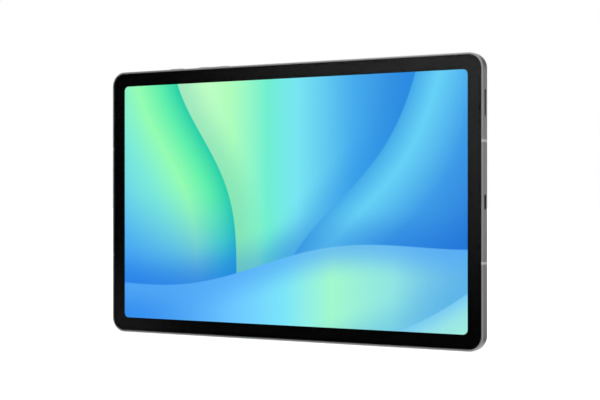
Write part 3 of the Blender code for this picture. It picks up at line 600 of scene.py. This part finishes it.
def circuit_board():
    """Green solder mask over copper tracks, with tinned pads between them."""
    finish = Finish("circuit_board", Coat_Weight=0.4, Coat_Roughness=0.15)
    cells = finish.node("ShaderNodeTexBrick", {
        "Vector": finish.face_place(), "Scale": 260.0, "Mortar Size": 0.06, "Brick Width": 0.9,
        "Row Height": 0.35, "Color1": (0.010, 0.070, 0.035, 1), "Color2": (0.016, 0.100, 0.050, 1),
        "Mortar": (0.030, 0.160, 0.080, 1)}).outputs["Color"]
    pads = finish.span(finish.node("ShaderNodeTexVoronoi", {
        "Vector": finish.place(), "Scale": 420.0}).outputs["Distance"], 0.10, 0.14, 1.0, 0.0)
    finish.drive("Base Color", finish.mix(pads, cells, (0.72, 0.70, 0.66, 1)))
    finish.drive("Metallic", pads)
    varied_roughness(finish, 0.35, 0.5, 400)
    finish.bump(pads, 0.3, 0.00005)
    return finish.material


def chip_resin():
    """Matt black moulding compound."""
    finish = Finish("chip_resin")
    varied(finish, (0.018, 0.018, 0.020), 0.25, 900)
    varied_roughness(finish, 0.55, 0.75, 700)
    finish.grain(7000, 0.3, 0.00003)
    return finish.material


def brushed_steel():
    """Stamped steel with rolling marks along the sheet."""
    finish = Finish("brushed_steel", Metallic=1.0, Anisotropic=0.4)
    stretch = finish.node("ShaderNodeMapping", {"Vector": finish.place(), "Scale": (60.0, 900.0, 4200.0)})
    marks = finish.node("ShaderNodeTexNoise", {"Vector": stretch.outputs["Vector"], "Scale": 1.0,
                                               "Detail": 3.0}).outputs[0]
    finish.drive("Base Color", finish.ramp(marks, [(0.3, (0.50, 0.50, 0.51)), (0.7, (0.62, 0.62, 0.62))]))
    finish.drive("Roughness", finish.span(marks, 0.3, 0.7, 0.22, 0.36))
    finish.bump(marks, 0.08, 0.00002)
    return finish.material


def blackened_steel_with_painted_shade():
    """Blackened steel of the speaker grilles and the charging socket, so near black that it also paints the
    shade inside the speaker slots and the socket mouth.
    """
    finish = Finish("blackened_steel_with_painted_shade", Metallic=0.9)
    # Near black: blackening, and painted shade inside the slots and the socket mouth
    varied(finish, (0.010, 0.010, 0.011), 0.2, 700)
    varied_roughness(finish, 0.34, 0.45, 900)
    finish.grain(6000, 0.15, 0.00002)
    return finish.material


def flex_film():
    """Amber film with copper tracks that shine through."""
    finish = Finish("flex_film", Coat_Weight=0.3, Coat_Roughness=0.1)
    tracks = finish.node("ShaderNodeTexWave", {
        "Vector": finish.face_place(), "Scale": 520.0, "Distortion": 0.0}).outputs["Color"]
    shine = finish.span(tracks, 0.35, 0.55)
    finish.drive("Base Color", finish.mix(shine, (0.20, 0.075, 0.012, 1), (0.42, 0.20, 0.05, 1)))
    varied_roughness(finish, 0.28, 0.4, 300)
    return finish.material


def gold_contact():
    """Gold plating, with the faint scuffs of use."""
    finish = Finish("gold_contact", Metallic=1.0)
    varied(finish, (0.86, 0.60, 0.25), 0.06, 1500)
    varied_roughness(finish, 0.16, 0.34, 2600)
    finish.grain(6000, 0.08, 0.00001)
    return finish.material


# ---- screen picture

def swell_depth(finish, place, leaning, crest, swing, waves, phase):
    """How far each point of the screen lies inside a swell, which is a half plane with a wavy crest."""
    turn = math.radians(leaning)
    out = (math.cos(turn), math.sin(turn), 0.0)
    along = (-out[1], out[0], 0.0)
    wave = finish.maths("SINE", finish.maths("MULTIPLY_ADD", finish.dot(place, along), waves, phase))
    edge = finish.maths("MULTIPLY_ADD", wave, swing, crest)
    return finish.maths("SUBTRACT", edge, finish.dot(place, out))


def screen_place(finish):
    """Place on the screen, in units of its height, from its middle."""
    parts = finish.node("ShaderNodeSeparateXYZ", {"Vector": finish.place()}).outputs
    right = finish.maths("DIVIDE", parts["X"], ACTIVE_HEIGHT)
    up = finish.maths("DIVIDE", finish.maths("SUBTRACT", parts["Z"], CENTRE_Z), ACTIVE_HEIGHT)
    return finish.node("ShaderNodeCombineXYZ", {"X": right, "Y": up, "Z": 0.0}).outputs["Vector"]


def lay_swell(finish, behind, depth, body, shade):
    """Lay a swell's body over what is behind it, which darkens softly towards its crest."""
    shaded = finish.mix(finish.span(depth, -SHADE_REACH, 0.0, 0.0, SHADE_SHARE), behind, shade)
    return finish.mix(finish.span(depth, -CREST_BLUR, CREST_BLUR), shaded, body)


def wallpaper(finish):
    """Rolling swells in greens and blues."""
    place = screen_place(finish)
    across = finish.dot(place, (1.0, 0.0, 0.0))
    upward = finish.dot(place, (0.0, 1.0, 0.0))

    sky = finish.ramp(finish.span(across, -0.75, 0.75), [
        (0.00, colour(214, 255, 206)), (0.26, colour(170, 250, 186)), (0.42, colour(110, 236, 205)),
        (0.56, colour(118, 226, 240)), (0.80, colour(66, 168, 234)), (1.00, colour(30, 120, 214))])

    far = swell_depth(finish, place, leaning=148, crest=-0.21, swing=0.060, waves=4.6, phase=0.6)
    far_body = finish.ramp(far, [
        (0.00, colour(66, 168, 230)), (0.10, colour(100, 206, 243)), (0.28, colour(58, 152, 228)),
        (0.55, colour(24, 108, 212))])
    picture = lay_swell(finish, sky, far, far_body, colour(30, 140, 225))

    left = swell_depth(finish, place, leaning=17, crest=-0.30, swing=0.055, waves=5.4, phase=1.1)
    left_light = finish.ramp(left, [
        (0.00, colour(30, 204, 166)), (0.09, colour(92, 236, 170)), (0.20, colour(146, 250, 176)),
        (0.34, colour(122, 232, 214)), (0.55, colour(96, 200, 236))])
    left_body = finish.mix(finish.span(upward, 0.10, -0.50), left_light, colour(24, 122, 240))
    picture = lay_swell(finish, picture, left, left_body, colour(40, 190, 170))

    low = swell_depth(finish, place, leaning=97, crest=-0.245, swing=0.040, waves=4.4, phase=2.5)
    low_light = finish.ramp(finish.span(across, -0.8, 0.8), [
        (0.00, colour(52, 142, 236)), (0.28, colour(106, 196, 255)), (0.50, colour(122, 226, 246)),
        (0.70, colour(160, 246, 202)), (0.90, colour(142, 226, 224)), (1.00, colour(104, 184, 232))])
    low_body = finish.mix(finish.span(low, 0.14, 0.0, 0.0, 0.75), low_light, colour(82, 168, 244))
    picture = lay_swell(finish, picture, low, low_body, colour(28, 118, 216))

    near = swell_depth(finish, place, leaning=118, crest=-0.66, swing=0.030, waves=5.0, phase=0.3)
    near_body = finish.ramp(near, [
        (0.00, colour(120, 200, 240)), (0.06, colour(150, 226, 228)), (0.20, colour(170, 246, 206))])
    return lay_swell(finish, picture, near, near_body, colour(70, 170, 226))


def display():
    """Lit display panel."""
    finish = Finish("display", Emission_Strength=1.04, IOR=1.08)
    varied(finish, (0.002, 0.002, 0.0025), 0.1, 80)
    varied_roughness(finish, 0.25, 0.32, 60)
    finish.drive("Emission Color", wallpaper(finish))
    return finish.material


# ---- housing and its bands

def housing_stages():
    """Skin of the housing: pocket, ledge, rim with a broken inner edge, rounded front, wall, rounded back."""
    def stage(inset, depth):
        return (depth, WIDTH - 2 * inset, HEIGHT - 2 * inset, CORNER_RADIUS - inset)

    stages = [
        stage(WALL, FLOOR_DEPTH),
        stage(WALL, LEDGE_DEPTH),
        stage(RIM, LEDGE_DEPTH),
        stage(RIM, RIM_BREAK),
        stage(RIM - RIM_BREAK, 0.0),
    ]
    for step in range(EDGE_STEPS + 1):
        angle = math.pi / 2 * step / EDGE_STEPS
        stages.append(stage(EDGE_RADIUS * (1 - math.sin(angle)), EDGE_RADIUS * (1 - math.cos(angle))))
    for step in range(EDGE_STEPS + 1):
        angle = math.pi / 2 * step / EDGE_STEPS
        inset = EDGE_RADIUS * (1 - math.cos(angle))
        stages.append(stage(inset, THICKNESS - EDGE_RADIUS * (1 - math.sin(angle))))
    return stages


def housing_solid(name):
    """Housing without its openings."""
    return staged(name, "Y", housing_stages(), (0, FRONT_Y, CENTRE_Z), CORNER_STEPS)


def band_nodes():
    """Names of the antenna bands, with their side of the tablet."""
    return [(f"antenna_band_{name}_{level}", side)
            for name, side in SIDES.items() for level in ("upper", "lower")]


def band_block(name, node, side, reach, width):
    """Block through a side wall at an antenna band's place."""
    return staged(name, "X", [(-side * reach, 2 * THICKNESS, width, 0.0),
                              (side * OVERRUN, 2 * THICKNESS, width, 0.0)],
                  Vector((side * WIDTH / 2, MIDDLE_Y, middle(node).z)))


def make_housing(material):
    """Milled housing with every opening in its walls."""
    housing = housing_solid("housing")
    add_bosses(housing)
    for node, side in band_nodes():
        cutter = band_block("cutter", node, side, size_of(node).x + 2 * BAND_SLIT, BAND_WIDTH)
        boolean(housing, cutter, "DIFFERENCE")
    for name, side in SIDES.items():
        open_slot(housing, "X", SPEAKER_SLOT, (-side * (WALL + OVERRUN), side * OVERRUN),
                  (side * WIDTH / 2, MIDDLE_Y, middle(f"speaker_grille_{name}").z), SPEAKER_SLOT[0] / 2, 0.0)
    open_usb_mouth(housing)
    for node in ("power_key", "volume_key"):
        size = (cap_length(node) + 2 * MOVING_GAP, KEY_WIDTH + 2 * MOVING_GAP)
        open_slot(housing, "Z", size, (-WALL - OVERRUN, OVERRUN), (middle(node).x, MIDDLE_Y, TOP_Z),
                  size[1] / 2, 0.0)
    open_tray_slot(housing)
    open_contact_recess(housing)
    ring = middle("rear_camera_ring")
    open_hole(housing, "Y", 2 * RING_HOLE, (-OVERRUN, OVERRUN), (ring.x, BACK_Y, ring.z), 0.0, CORNER_STEPS)
    open_hole(housing, "Z", 2 * MICROPHONE_HOLE, (-WALL - OVERRUN, OVERRUN),
              (middle("microphone").x, MIDDLE_Y, TOP_Z), 0.0)
    stand_for(smooth(housing), "rear_housing", material)


def add_bosses(housing):
    """Screw bosses on the housing's floor."""
    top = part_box("middle_plate")[1].y + STACK_GAP
    for index in range(1, SCREWS + 1):
        screw = f"plate_screw_{index}"
        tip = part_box(screw)[1].y
        boss = staged("boss", "Y", [
            disc(FRONT_Y + FLOOR_DEPTH + STACK_GAP, BOSS_RADIUS), disc(top, BOSS_RADIUS),
            disc(top, BOSS_HOLE_RADIUS), disc(tip + SIDE_GAP, BOSS_HOLE_RADIUS)], axis_of(screw))
        boolean(housing, boss, "UNION")


def open_usb_mouth(housing):
    """Socket mouth in the right-hand wall, wider behind its lip."""
    low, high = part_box("usb_seal")
    place = (WIDTH / 2, MIDDLE_Y, middle("usb_seal").z)
    hole = (high.y - low.y + 2 * STACK_GAP, high.z - low.z + 2 * STACK_GAP)
    open_slot(housing, "X", USB_MOUTH, (-WALL - OVERRUN, OVERRUN), place, USB_MOUTH[0] / 2, 0.0)
    open_slot(housing, "X", hole, (-WALL - OVERRUN, high.x - WIDTH / 2 + STACK_GAP), place, hole[0] / 2)


def open_tray_slot(housing):
    """Recess for the card tray's face, slot for its body and hole for the eject rod."""
    tray = size_of("card_tray")
    place = Vector((-WIDTH / 2, MIDDLE_Y, middle("card_tray").z))
    face = (tray.y + 2 * MOVING_GAP, tray.z + 2 * MOVING_GAP)
    slot = (TRAY_BODY[0] + 2 * SIDE_GAP, TRAY_BODY[1] + 2 * SIDE_GAP)
    rod = size_of("eject_rod").y + 2 * SIDE_GAP
    open_slot(housing, "X", face, (TRAY_FACE_DEPTH + SIDE_GAP, -OVERRUN), place, face[0] / 2, 0.0)
    open_slot(housing, "X", slot, (0.0, WALL + OVERRUN), place, 0.0)
    open_hole(housing, "X", rod, (0.0, WALL + OVERRUN), (place.x, MIDDLE_Y, middle("eject_rod").z))


def open_contact_recess(housing):
    """Recess in the bottom edge for the contact strip, with a hole for each contact."""
    strip = size_of("contact_strip")
    place = (middle("contact_strip").x, MIDDLE_Y, HOUSING_LOW.z)
    recess = (strip.x + 2 * SIDE_GAP, strip.y + 2 * SIDE_GAP)
    open_slot(housing, "Z", recess, (CONTACT_RECESS, -OVERRUN), place, recess[1] / 2, 0.0)
    for index in range(1, CONTACTS + 1):
        pin = f"contact_pin_{index}"
        open_hole(housing, "Z", size_of(pin).x + 2 * SIDE_GAP, (0.0, WALL + OVERRUN),
                  (middle(pin).x, MIDDLE_Y, HOUSING_LOW.z))


def make_antenna_bands(material):
    """Plastic bands that fill the slits, with the section of the wall that they interrupt."""
    for node, side in band_nodes():
        reach = size_of(node).x + BAND_SLIT
        band = band_block(node + "_fill", node, side, reach, BAND_WIDTH - 2 * BAND_SLIT)
        boolean(band, housing_solid("section"), "INTERSECT")
        stand_for(smooth(band), node, material)


# ---- screen pieces

def make_screen(materials):
    """Cover glass, the ink behind its border, the sealing bead around it and the lit panel."""
    make_cover_glass(materials["cover_glass"])
    make_border(materials["border_ink"])
    make_seal(materials["black_seal"])
    paint(frame["nodes"]["display_panel"], materials["display"])


def make_cover_glass(material):
    """Flat glass with a small bevel along its front edge."""
    bevel = rounded_edge(GLASS_SIZE, GLASS_RADIUS, 0.0, 1, GLASS_BEVEL)
    glass = staged("cover_glass", "Y", [(GLASS_THICKNESS, *GLASS_SIZE, GLASS_RADIUS), *bevel],
                   (0, GLASS_LOW.y, CENTRE_Z), CORNER_STEPS)
    stand_for(smooth(glass), "front_glass", material)


def make_border(material):
    """Printed border behind the glass, with a clear spot for the front camera."""
    outer = (GLASS_SIZE[0] - 2 * PRINT_INSET, GLASS_SIZE[1] - 2 * PRINT_INSET, GLASS_RADIUS - PRINT_INSET)
    window = (ACTIVE_WIDTH, ACTIVE_HEIGHT, ACTIVE_CORNER)
    near = GLASS_THICKNESS + PRINT_GAP
    far = near + PRINT_THICKNESS
    border = staged("border_print", "Y", [(near, *outer), (far, *outer), (far, *window), (near, *window)],
                    (0, GLASS_LOW.y, CENTRE_Z), CORNER_STEPS, closed=True)
    lens = middle("front_camera_lens")
    open_hole(border, "Y", 2 * CAMERA_APERTURE, (-OVERRUN, OVERRUN), (lens.x, GLASS_LOW.y + near, lens.z),
              steps=CORNER_STEPS)
    add_detail(smooth(border), "tablet", material)


def make_seal(material):
    """Adhesive frame under the glass, with a bead that fills the gap around it."""
    def stage(depth, width):
        inset = (GLASS_SIZE[0] - width) / 2
        return (depth, width, GLASS_SIZE[1] - 2 * inset, GLASS_RADIUS - inset)

    low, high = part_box("glass_adhesive")
    inner = GLASS_SIZE[0] - 2 * SEAL_WIDTH
    bead_outer = WIDTH - 2 * RIM - 2 * BAND_SLIT
    bead_inner = GLASS_SIZE[0] + 2 * BAND_SLIT
    top = GLASS_LOW.y - FRONT_Y + SEAL_SINK
    near, far = low.y - FRONT_Y, high.y - FRONT_Y
    seal = staged("glass_seal", "Y", [
        stage(far, inner), stage(near, inner), stage(near, bead_inner), stage(top, bead_inner),
        stage(top, bead_outer), stage(far, bead_outer)],
        (0, FRONT_Y, CENTRE_Z), CORNER_STEPS, closed=True)
    stand_for(smooth(seal), "glass_adhesive", material)


# ---- small pieces in the walls

def cap_length(node):
    """Length of a key's cap, whose flange inside the wall is longer."""
    return size_of(node).x - 2 * KEY_FLANGE


def make_key(node, material):
    """Key with a soft crown, above a flange that keeps it in the wall."""
    low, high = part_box(node)
    length = cap_length(node)
    flange = (length + 2 * KEY_FLANGE, KEY_WIDTH + 2 * KEY_FLANGE, KEY_FLANGE)
    cap = (length, KEY_WIDTH)
    stages = [
        (0.0, *flange), (KEY_FLANGE_HEIGHT, *flange), (KEY_FLANGE_HEIGHT, *cap, KEY_WIDTH / 2),
        *rounded_edge(cap, KEY_WIDTH / 2, high.z - low.z, -1, KEY_EDGE),
    ]
    key = staged(node + "_cap", "Z", stages, (middle(node).x, MIDDLE_Y, low.z))
    if node == "volume_key":
        hollow_rocker(key, middle(node).x, high.z)
    stand_for(smooth(key), node, material)


def hollow_rocker(key, across, crown):
    """Shallow dip in the middle of the volume key, between its two pressing places."""
    bottom, mouth = ROCKER_DIP
    cutter = staged("cutter", "Z", [
        (crown - ROCKER_DIP_DEPTH, bottom, 2 * KEY_WIDTH, 0.0),
        (crown + ROCKER_DIP_DEPTH, 2 * mouth - bottom, 2 * KEY_WIDTH, 0.0)], (across, MIDDLE_Y, 0))
    boolean(key, cutter, "DIFFERENCE")


def make_speaker_grille(name, material):
    """Blackened plate with two rows of small round holes, its near black partly painted shade inside the
    slot.
    """
    node = f"speaker_grille_{name}"
    size = size_of(node)
    plate = (size.y, size.z)
    place = middle(node)
    stages = [(along, *plate, plate[0] / 2) for along in (-size.x / 2, size.x / 2)]
    grille = staged(node + "_plate", "X", stages, place)
    holes = bmesh.new()
    count = int((size.z - plate[0]) / GRILLE_PITCH)
    for row in (-1, 1):
        for index in range(count):
            up = (index - (count - 1) / 2 + row / 4) * GRILLE_PITCH
            across = row * GRILLE_ROW
            loops = [[Vector((along, across, up)) + point for point in round_points(GRILLE_HOLE)]
                     for along in (-size.x, size.x)]
            skin(holes, loops)
    cutter = add_object("cutter", finish_mesh("cutter", holes), place)
    boolean(grille, cutter, "DIFFERENCE")
    stand_for(smooth(grille), node, material)


def round_points(radius):
    """Points of a small circle square to X."""
    count = 2 * SMALL_STEPS
    turns = [2 * math.pi * index / count for index in range(count)]
    return [Vector((0, radius * math.cos(turn), radius * math.sin(turn))) for turn in turns]


def make_usb_port(materials):
    """Charging socket: soft seal, steel shell, and the tongue with its contacts."""
    make_usb_seal(materials["black_seal"])
    # The socket's steel shell is near black as painted shade inside the mouth
    make_usb_shell(materials["blackened_steel_with_painted_shade"])
    make_usb_tongue(materials)


def make_usb_shell(material):
    """Drawn steel shell with a rolled lip."""
    low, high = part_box("usb_shell")
    length = high.x - low.x
    outer = (high.y - low.y, high.z - low.z)
    inner = (outer[0] - 2 * USB_WALL, outer[1] - 2 * USB_WALL)
    half_wall = USB_WALL / 2
    lip_outer = rounded_edge(outer, outer[0] / 2, length, -1, half_wall)
    lip_inner = [(length - inset, inner[0] + 2 * grow, inner[1] + 2 * grow, inner[0] / 2 + grow)
                 for inset, grow in lip_steps(half_wall)]
    stages = [(0.0, *outer, outer[0] / 2), *lip_outer, *lip_inner, (USB_WALL, *inner, inner[0] / 2)]
    shell = staged("usb_shell_drawn", "X", stages, (low.x, MIDDLE_Y, middle("usb_shell").z))
    stand_for(smooth(shell), "usb_shell", material)


def make_usb_tongue(materials):
    """Moulded tongue with gold contacts on both faces."""
    low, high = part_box("usb_tongue")
    size = (high.y - low.y, high.z - low.z)
    corner = size[0] / 3
    place = Vector((low.x, MIDDLE_Y, middle("usb_tongue").z))
    tip = rounded_edge(size, corner, high.x - low.x, -1, size[0] / 4)
    tongue = staged("usb_tongue_moulded", "X", [(0.0, *size, corner), *tip], place, SMALL_STEPS)
    stand_for(smooth(tongue), "usb_tongue", materials["black_plastic"])
    make_tongue_contacts(high.x, size, place, materials["gold_contact"])


def make_usb_seal(material):
    """Soft seal between housing and socket, with a thin black sleeve that lines the mouth: a dark sheet that
    paints the shade inside the socket.
    """
    low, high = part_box("usb_seal")
    body = (high.y - low.y, high.z - low.z)
    # Black sleeve in the mouth: painted shade
    shade_sleeve = tuple(side - 2 * BAND_SLIT for side in USB_MOUTH)
    bore = tuple(side - 2 * SHADE_SLEEVE_WALL for side in shade_sleeve)
    body_end = high.x - low.x
    shade_sleeve_end = WIDTH / 2 - LIP - low.x
    profile = ((0.0, body), (body_end, body), (body_end, shade_sleeve),
               (shade_sleeve_end, shade_sleeve), (shade_sleeve_end, bore), (0.0, bore))
    stages = [(along, *size, size[0] / 2) for along, size in profile]
    seal = staged("usb_seal_moulded", "X", stages, (low.x, MIDDLE_Y, middle("usb_seal").z), closed=True)
    stand_for(smooth(seal), "usb_seal", material)


def lip_steps(radius):
    """Quarter turn from the lip's crest into the bore: distance back from the lip, and growth of the bore."""
    turns = [math.pi / 2 * step / ROUND_STEPS for step in range(1, ROUND_STEPS + 1)]
    return [(radius * (1 - math.cos(turn)), radius * (1 - math.sin(turn))) for turn in turns]


def make_tongue_contacts(tip, size, place, material):
    """A row of gold contacts on each face of the socket's tongue."""
    shape = bmesh.new()
    length, height, width = TONGUE_CONTACT
    stages = [(along, height, width, 0.0) for along in (-length / 2, length / 2)]
    for face in (-1, 1):
        for index in range(TONGUE_CONTACTS):
            up = (index - (TONGUE_CONTACTS - 1) / 2) * TONGUE_PITCH
            centre = Vector((tip - place.x - length / 2 - TONGUE_TIP, face * size[0] / 2, up))
            skin(shape, [[point + centre for point in loop] for loop in staged_loops("X", stages, 1)])
    contacts = add_object("usb_tongue_contacts", finish_mesh("usb_tongue_contacts", shape), place)
    add_detail(contacts, "tablet", material)


def make_card_tray(material):
    """Card tray: rounded face with a pinhole, and a body with a pocket for the cards."""
    low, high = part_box("card_tray")
    face = (high.y - low.y, high.z - low.z)
    length = high.x - low.x
    place = Vector((low.x, MIDDLE_Y, middle("card_tray").z))
    edge = reversed(rounded_edge(face, face[0] / 2, 0.0, 1, TRAY_EDGE))
    tray = staged("card_tray_milled", "X", [
        *edge, (TRAY_FACE_DEPTH, *face, face[0] / 2),
        (TRAY_FACE_DEPTH, *TRAY_BODY, TRAY_EDGE), (length, *TRAY_BODY, TRAY_EDGE)], place)
    pocket = (place.x + (TRAY_FACE_DEPTH + length) / 2, place.y, place.z)
    open_slot(tray, "Y", CARD_POCKET, (-TRAY_BODY[0], TRAY_BODY[0] / 2 - POCKET_FLOOR), pocket, CARD_CORNER)
    open_hole(tray, "X", 2 * PINHOLE_RADIUS, (2 * TRAY_FACE_DEPTH, -OVERRUN),
              (place.x, MIDDLE_Y, middle("eject_rod").z))
    stand_for(smooth(tray), "card_tray", material)


def make_keyboard_contacts(materials):
    """Strip in the bottom edge, with three round-headed gold contacts."""
    low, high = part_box("contact_strip")
    size = (high.x - low.x, high.y - low.y)
    centre = middle("contact_strip")
    strip = staged("contact_strip_moulded", "Z", [
        *reversed(rounded_edge(size, size[1] / 2, low.z, 1, LIP)), (high.z, *size, size[1] / 2)],
        (centre.x, centre.y, 0))
    for index in range(1, CONTACTS + 1):
        node = f"contact_pin_{index}"
        open_hole(strip, "Z", size_of(node).x + 2 * STACK_GAP, (-OVERRUN, OVERRUN),
                  (middle(node).x, middle(node).y, high.z))
        make_contact_pin(node, materials["gold_contact"])
    stand_for(smooth(strip), "contact_strip", materials["black_plastic"])


def make_contact_pin(node, material):
    """Round-headed contact pin."""
    low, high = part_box(node)
    diameter = high.x - low.x
    head = rounded_edge((diameter, diameter), diameter / 2, low.z, 1, diameter / 4)
    pin = staged(node + "_turned", "Z", [*reversed(head), disc(high.z, diameter / 2)],
                 (middle(node).x, middle(node).y, 0))
    stand_for(smooth(pin), node, material)


# ---- cameras

def make_rear_camera(materials):
    """Rear camera: turned ring, window, stepped barrel and domed lens."""
    place = axis_of("rear_camera_ring")
    make_camera_ring(materials["polished_aluminium"], place)
    make_camera_window(materials["rear_camera_window"], place)
    make_barrel(materials["black_plastic"], place)
    make_lens("rear_camera_lens", 1, materials["rear_camera_lens"])


def make_camera_ring(material, place):
    """Turned ring with a seat for the window and a rounded crown."""
    low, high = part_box("rear_camera_ring")
    outer = (high.x - low.x) / 2
    seat = size_of("rear_camera_window").x / 2 + STACK_GAP
    seat_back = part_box("rear_camera_window")[0].y - STACK_GAP
    ring = staged("rear_camera_ring_turned", "Y", [
        disc(low.y, outer), *rounded_edge((2 * outer, 2 * outer), outer, high.y, -1, RING_EDGE),
        disc(high.y, seat + LIP), disc(high.y - LIP, seat), disc(seat_back, seat),
        disc(seat_back, RING_THROAT), disc(low.y, RING_THROAT)], place, CORNER_STEPS, closed=True)
    stand_for(smooth(ring), "rear_camera_ring", material)


def make_camera_window(material, place):
    """Flat round window with a broken edge."""
    low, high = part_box("rear_camera_window")
    radius = (high.x - low.x) / 2
    edge = rounded_edge((2 * radius, 2 * radius), radius, high.y, -1, LIP)
    window = staged("rear_camera_cover", "Y", [disc(low.y, radius), *edge], place, CORNER_STEPS)
    stand_for(smooth(window), "rear_camera_window", material)


def make_barrel(material, place):
    """Focusing barrel with stepped rings that swallow stray light."""
    low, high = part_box("rear_camera_barrel")
    outer = (high.x - low.x) / 2
    bore = size_of("rear_camera_lens").x / 2 + STACK_GAP
    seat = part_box("rear_camera_lens")[0].y - STACK_GAP
    stages = [disc(low.y, outer), disc(high.y - LIP, outer), disc(high.y, outer - LIP)]
    for step in range(BARREL_RINGS):
        ring = outer - LIP - (outer - LIP - bore) * (step + 1) / (BARREL_RINGS + 1)
        drop = high.y - BARREL_STEP * step
        stages += [disc(drop, ring), disc(drop - BARREL_STEP, ring)]
    stages += [disc(high.y - BARREL_RINGS * BARREL_STEP, bore), disc(seat, bore)]
    barrel = staged("rear_camera_barrel_stepped", "Y", stages, place, CORNER_STEPS // 2)
    stand_for(smooth(barrel), "rear_camera_barrel", material)


def make_lens(node, facing_y, material):
    """Round lens with a flat back and a crown that faces along +Y or -Y."""
    low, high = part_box(node)
    radius = (high.x - low.x) / 2
    back, front = (low.y, high.y) if facing_y > 0 else (high.y, low.y)
    stages = [disc(back, radius)]
    for step in range(SMALL_STEPS):
        turn = math.pi / 2 * step / SMALL_STEPS
        rise = LENS_FLANK + (1 - LENS_FLANK) * math.sin(turn)
        stages.append(disc(back + (front - back) * rise, radius * math.cos(turn)))
    lens = staged(node + "_dome", "Y", stages, axis_of(node), CORNER_STEPS // 2)
    stand_for(smooth(lens), node, material)


# ---- hidden pieces

def finish_hidden_pieces(materials):
    """Give the pieces that keep their frame shape the finish of their slot."""
    for node, item in frame["nodes"].items():
        if item.hide_render or node == "display_panel":
            continue
        slot = slot_of(node)
        paint(item, materials[HIDDEN_FINISHES.get(slot, slot)])


# ---- studio

def facing(turn, rise):
    """Direction from its turn to the left of the front (-Y) and its rise, in degrees."""
    turn, rise = math.radians(turn), math.radians(rise)
    return (-math.sin(turn) * math.cos(rise), -math.cos(turn) * math.cos(rise), math.sin(rise))


def patch(graph, way, direction, full, fade):
    """Round soft patch of the surroundings: 1 within one angle of a direction, 0 beyond another."""
    return graph.span(graph.dot(way, direction), math.cos(math.radians(fade)), math.cos(math.radians(full)))


def add_surroundings():
    """White backdrop, and softly graded light around the tablet, with dark flags and bright cards."""
    world = bpy.data.worlds.new("studio")
    bpy.context.scene.world = world
    world.use_nodes = True
    graph = Graph(world.node_tree)
    way = graph.node("ShaderNodeTexCoord").outputs["Generated"]
    rise = graph.dot(way, (0.0, 0.0, 1.0))
    light = graph.span(rise, *AMBIENT_RISE, *AMBIENT)
    for direction, full, fade, share in FLAGS:
        kept = graph.span(patch(graph, way, facing(*direction), full, fade), 0.0, 1.0, 1.0, 1.0 - share)
        light = graph.maths("MULTIPLY", light, kept)
    for direction, full, fade, strength in CARDS:
        glow = graph.maths("MULTIPLY", patch(graph, way, facing(*direction), full, fade), strength)
        light = graph.maths("ADD", light, glow)
    seen = graph.node("ShaderNodeLightPath").outputs["Is Camera Ray"]
    unseen = graph.maths("SUBTRACT", 1.0, seen)
    strength = graph.maths("ADD", seen, graph.maths("MULTIPLY", unseen, light))
    background = graph.tree.nodes["Background"]
    background.inputs["Color"].default_value = (1.0, 1.0, 1.0, 1.0)
    graph.feed(background.inputs["Strength"], strength)


def add_floor():
    """Plain pale floor, which is neither mirrored in the tablet nor seen through its glass."""
    finish = Finish("floor_paper", Emission_Strength=FLOOR_GLOW)
    varied(finish, (0.46, 0.46, 0.46), 0.01, 3)
    varied_roughness(finish, 0.85, 0.95, 6)
    finish.drive("Emission Color", (1.0, 1.0, 1.0, 1.0))
    stages = [(along, FLOOR_SIZE, FLOOR_SIZE, FLOOR_CORNER) for along in (-FLOOR_THICKNESS, -FLOOR_CLEARANCE)]
    floor = staged("floor", "Z", stages, (0, 0, 0))
    paint(floor, finish.material)
    floor.visible_glossy = False
    floor.visible_transmission = False


def add_lamp():
    """Large soft lamp overhead, a little in front of the tablet."""
    light = bpy.data.lights.new("overhead_softbox", "AREA")
    light.shape = "DISK"
    light.size = LAMP_SIZE
    light.energy = LAMP_POWER
    lamp = bpy.data.objects.new("overhead_softbox", light)
    lamp.location = LAMP_PLACE
    lamp.rotation_euler = (Vector((0, 0, CENTRE_Z)) - Vector(LAMP_PLACE)).to_track_quat("-Z", "Y").to_euler()
    bpy.context.scene.collection.objects.link(lamp)


def add_camera():
    """Camera to the right of the screen, at the height of its middle."""
    data = bpy.data.cameras.new("camera")
    data.lens = CAMERA_LENS
    data.sensor_width = CAMERA_SENSOR
    data.shift_y = CAMERA_SHIFT
    data.clip_start = 0.01
    camera = bpy.data.objects.new("camera", data)
    camera.location = (CAMERA_ACROSS, CAMERA_FRONT, CENTRE_Z)
    camera.rotation_euler = (math.pi / 2, 0, math.radians(CAMERA_TURN))
    bpy.context.scene.collection.objects.link(camera)
    bpy.context.scene.camera = camera
    bpy.context.scene.view_settings.view_transform = "Standard"


def make_materials():
    """Every material, by name."""
    makers = (anodised_aluminium, polished_aluminium, antenna_plastic, cover_glass, border_ink, black_seal,
              black_plastic, white_diffuser, cast_magnesium, battery_pouch, circuit_board, chip_resin,
              brushed_steel, blackened_steel_with_painted_shade, flex_film, gold_contact, display)
    made = {maker.__name__: maker() for maker in makers}
    for node, (coating_reflection_tint, refraction) in LENSES.items():
        made[node] = camera_glass(node, coating_reflection_tint, refraction)
    return made


def main():
    """Dress the tablet and light it."""
    add_camera()
    add_surroundings()
    add_floor()
    add_lamp()
    materials = make_materials()
    make_housing(materials["anodised_aluminium"])
    make_antenna_bands(materials["antenna_plastic"])
    make_screen(materials)
    for node in ("power_key", "volume_key"):
        make_key(node, materials["anodised_aluminium"])
    for name in SIDES:
        make_speaker_grille(name, materials["blackened_steel_with_painted_shade"])
    make_usb_port(materials)
    make_card_tray(materials["anodised_aluminium"])
    make_keyboard_contacts(materials)
    make_rear_camera(materials)
    make_lens("front_camera_lens", -1, materials["front_camera_lens"])
    finish_hidden_pieces(materials)


main()
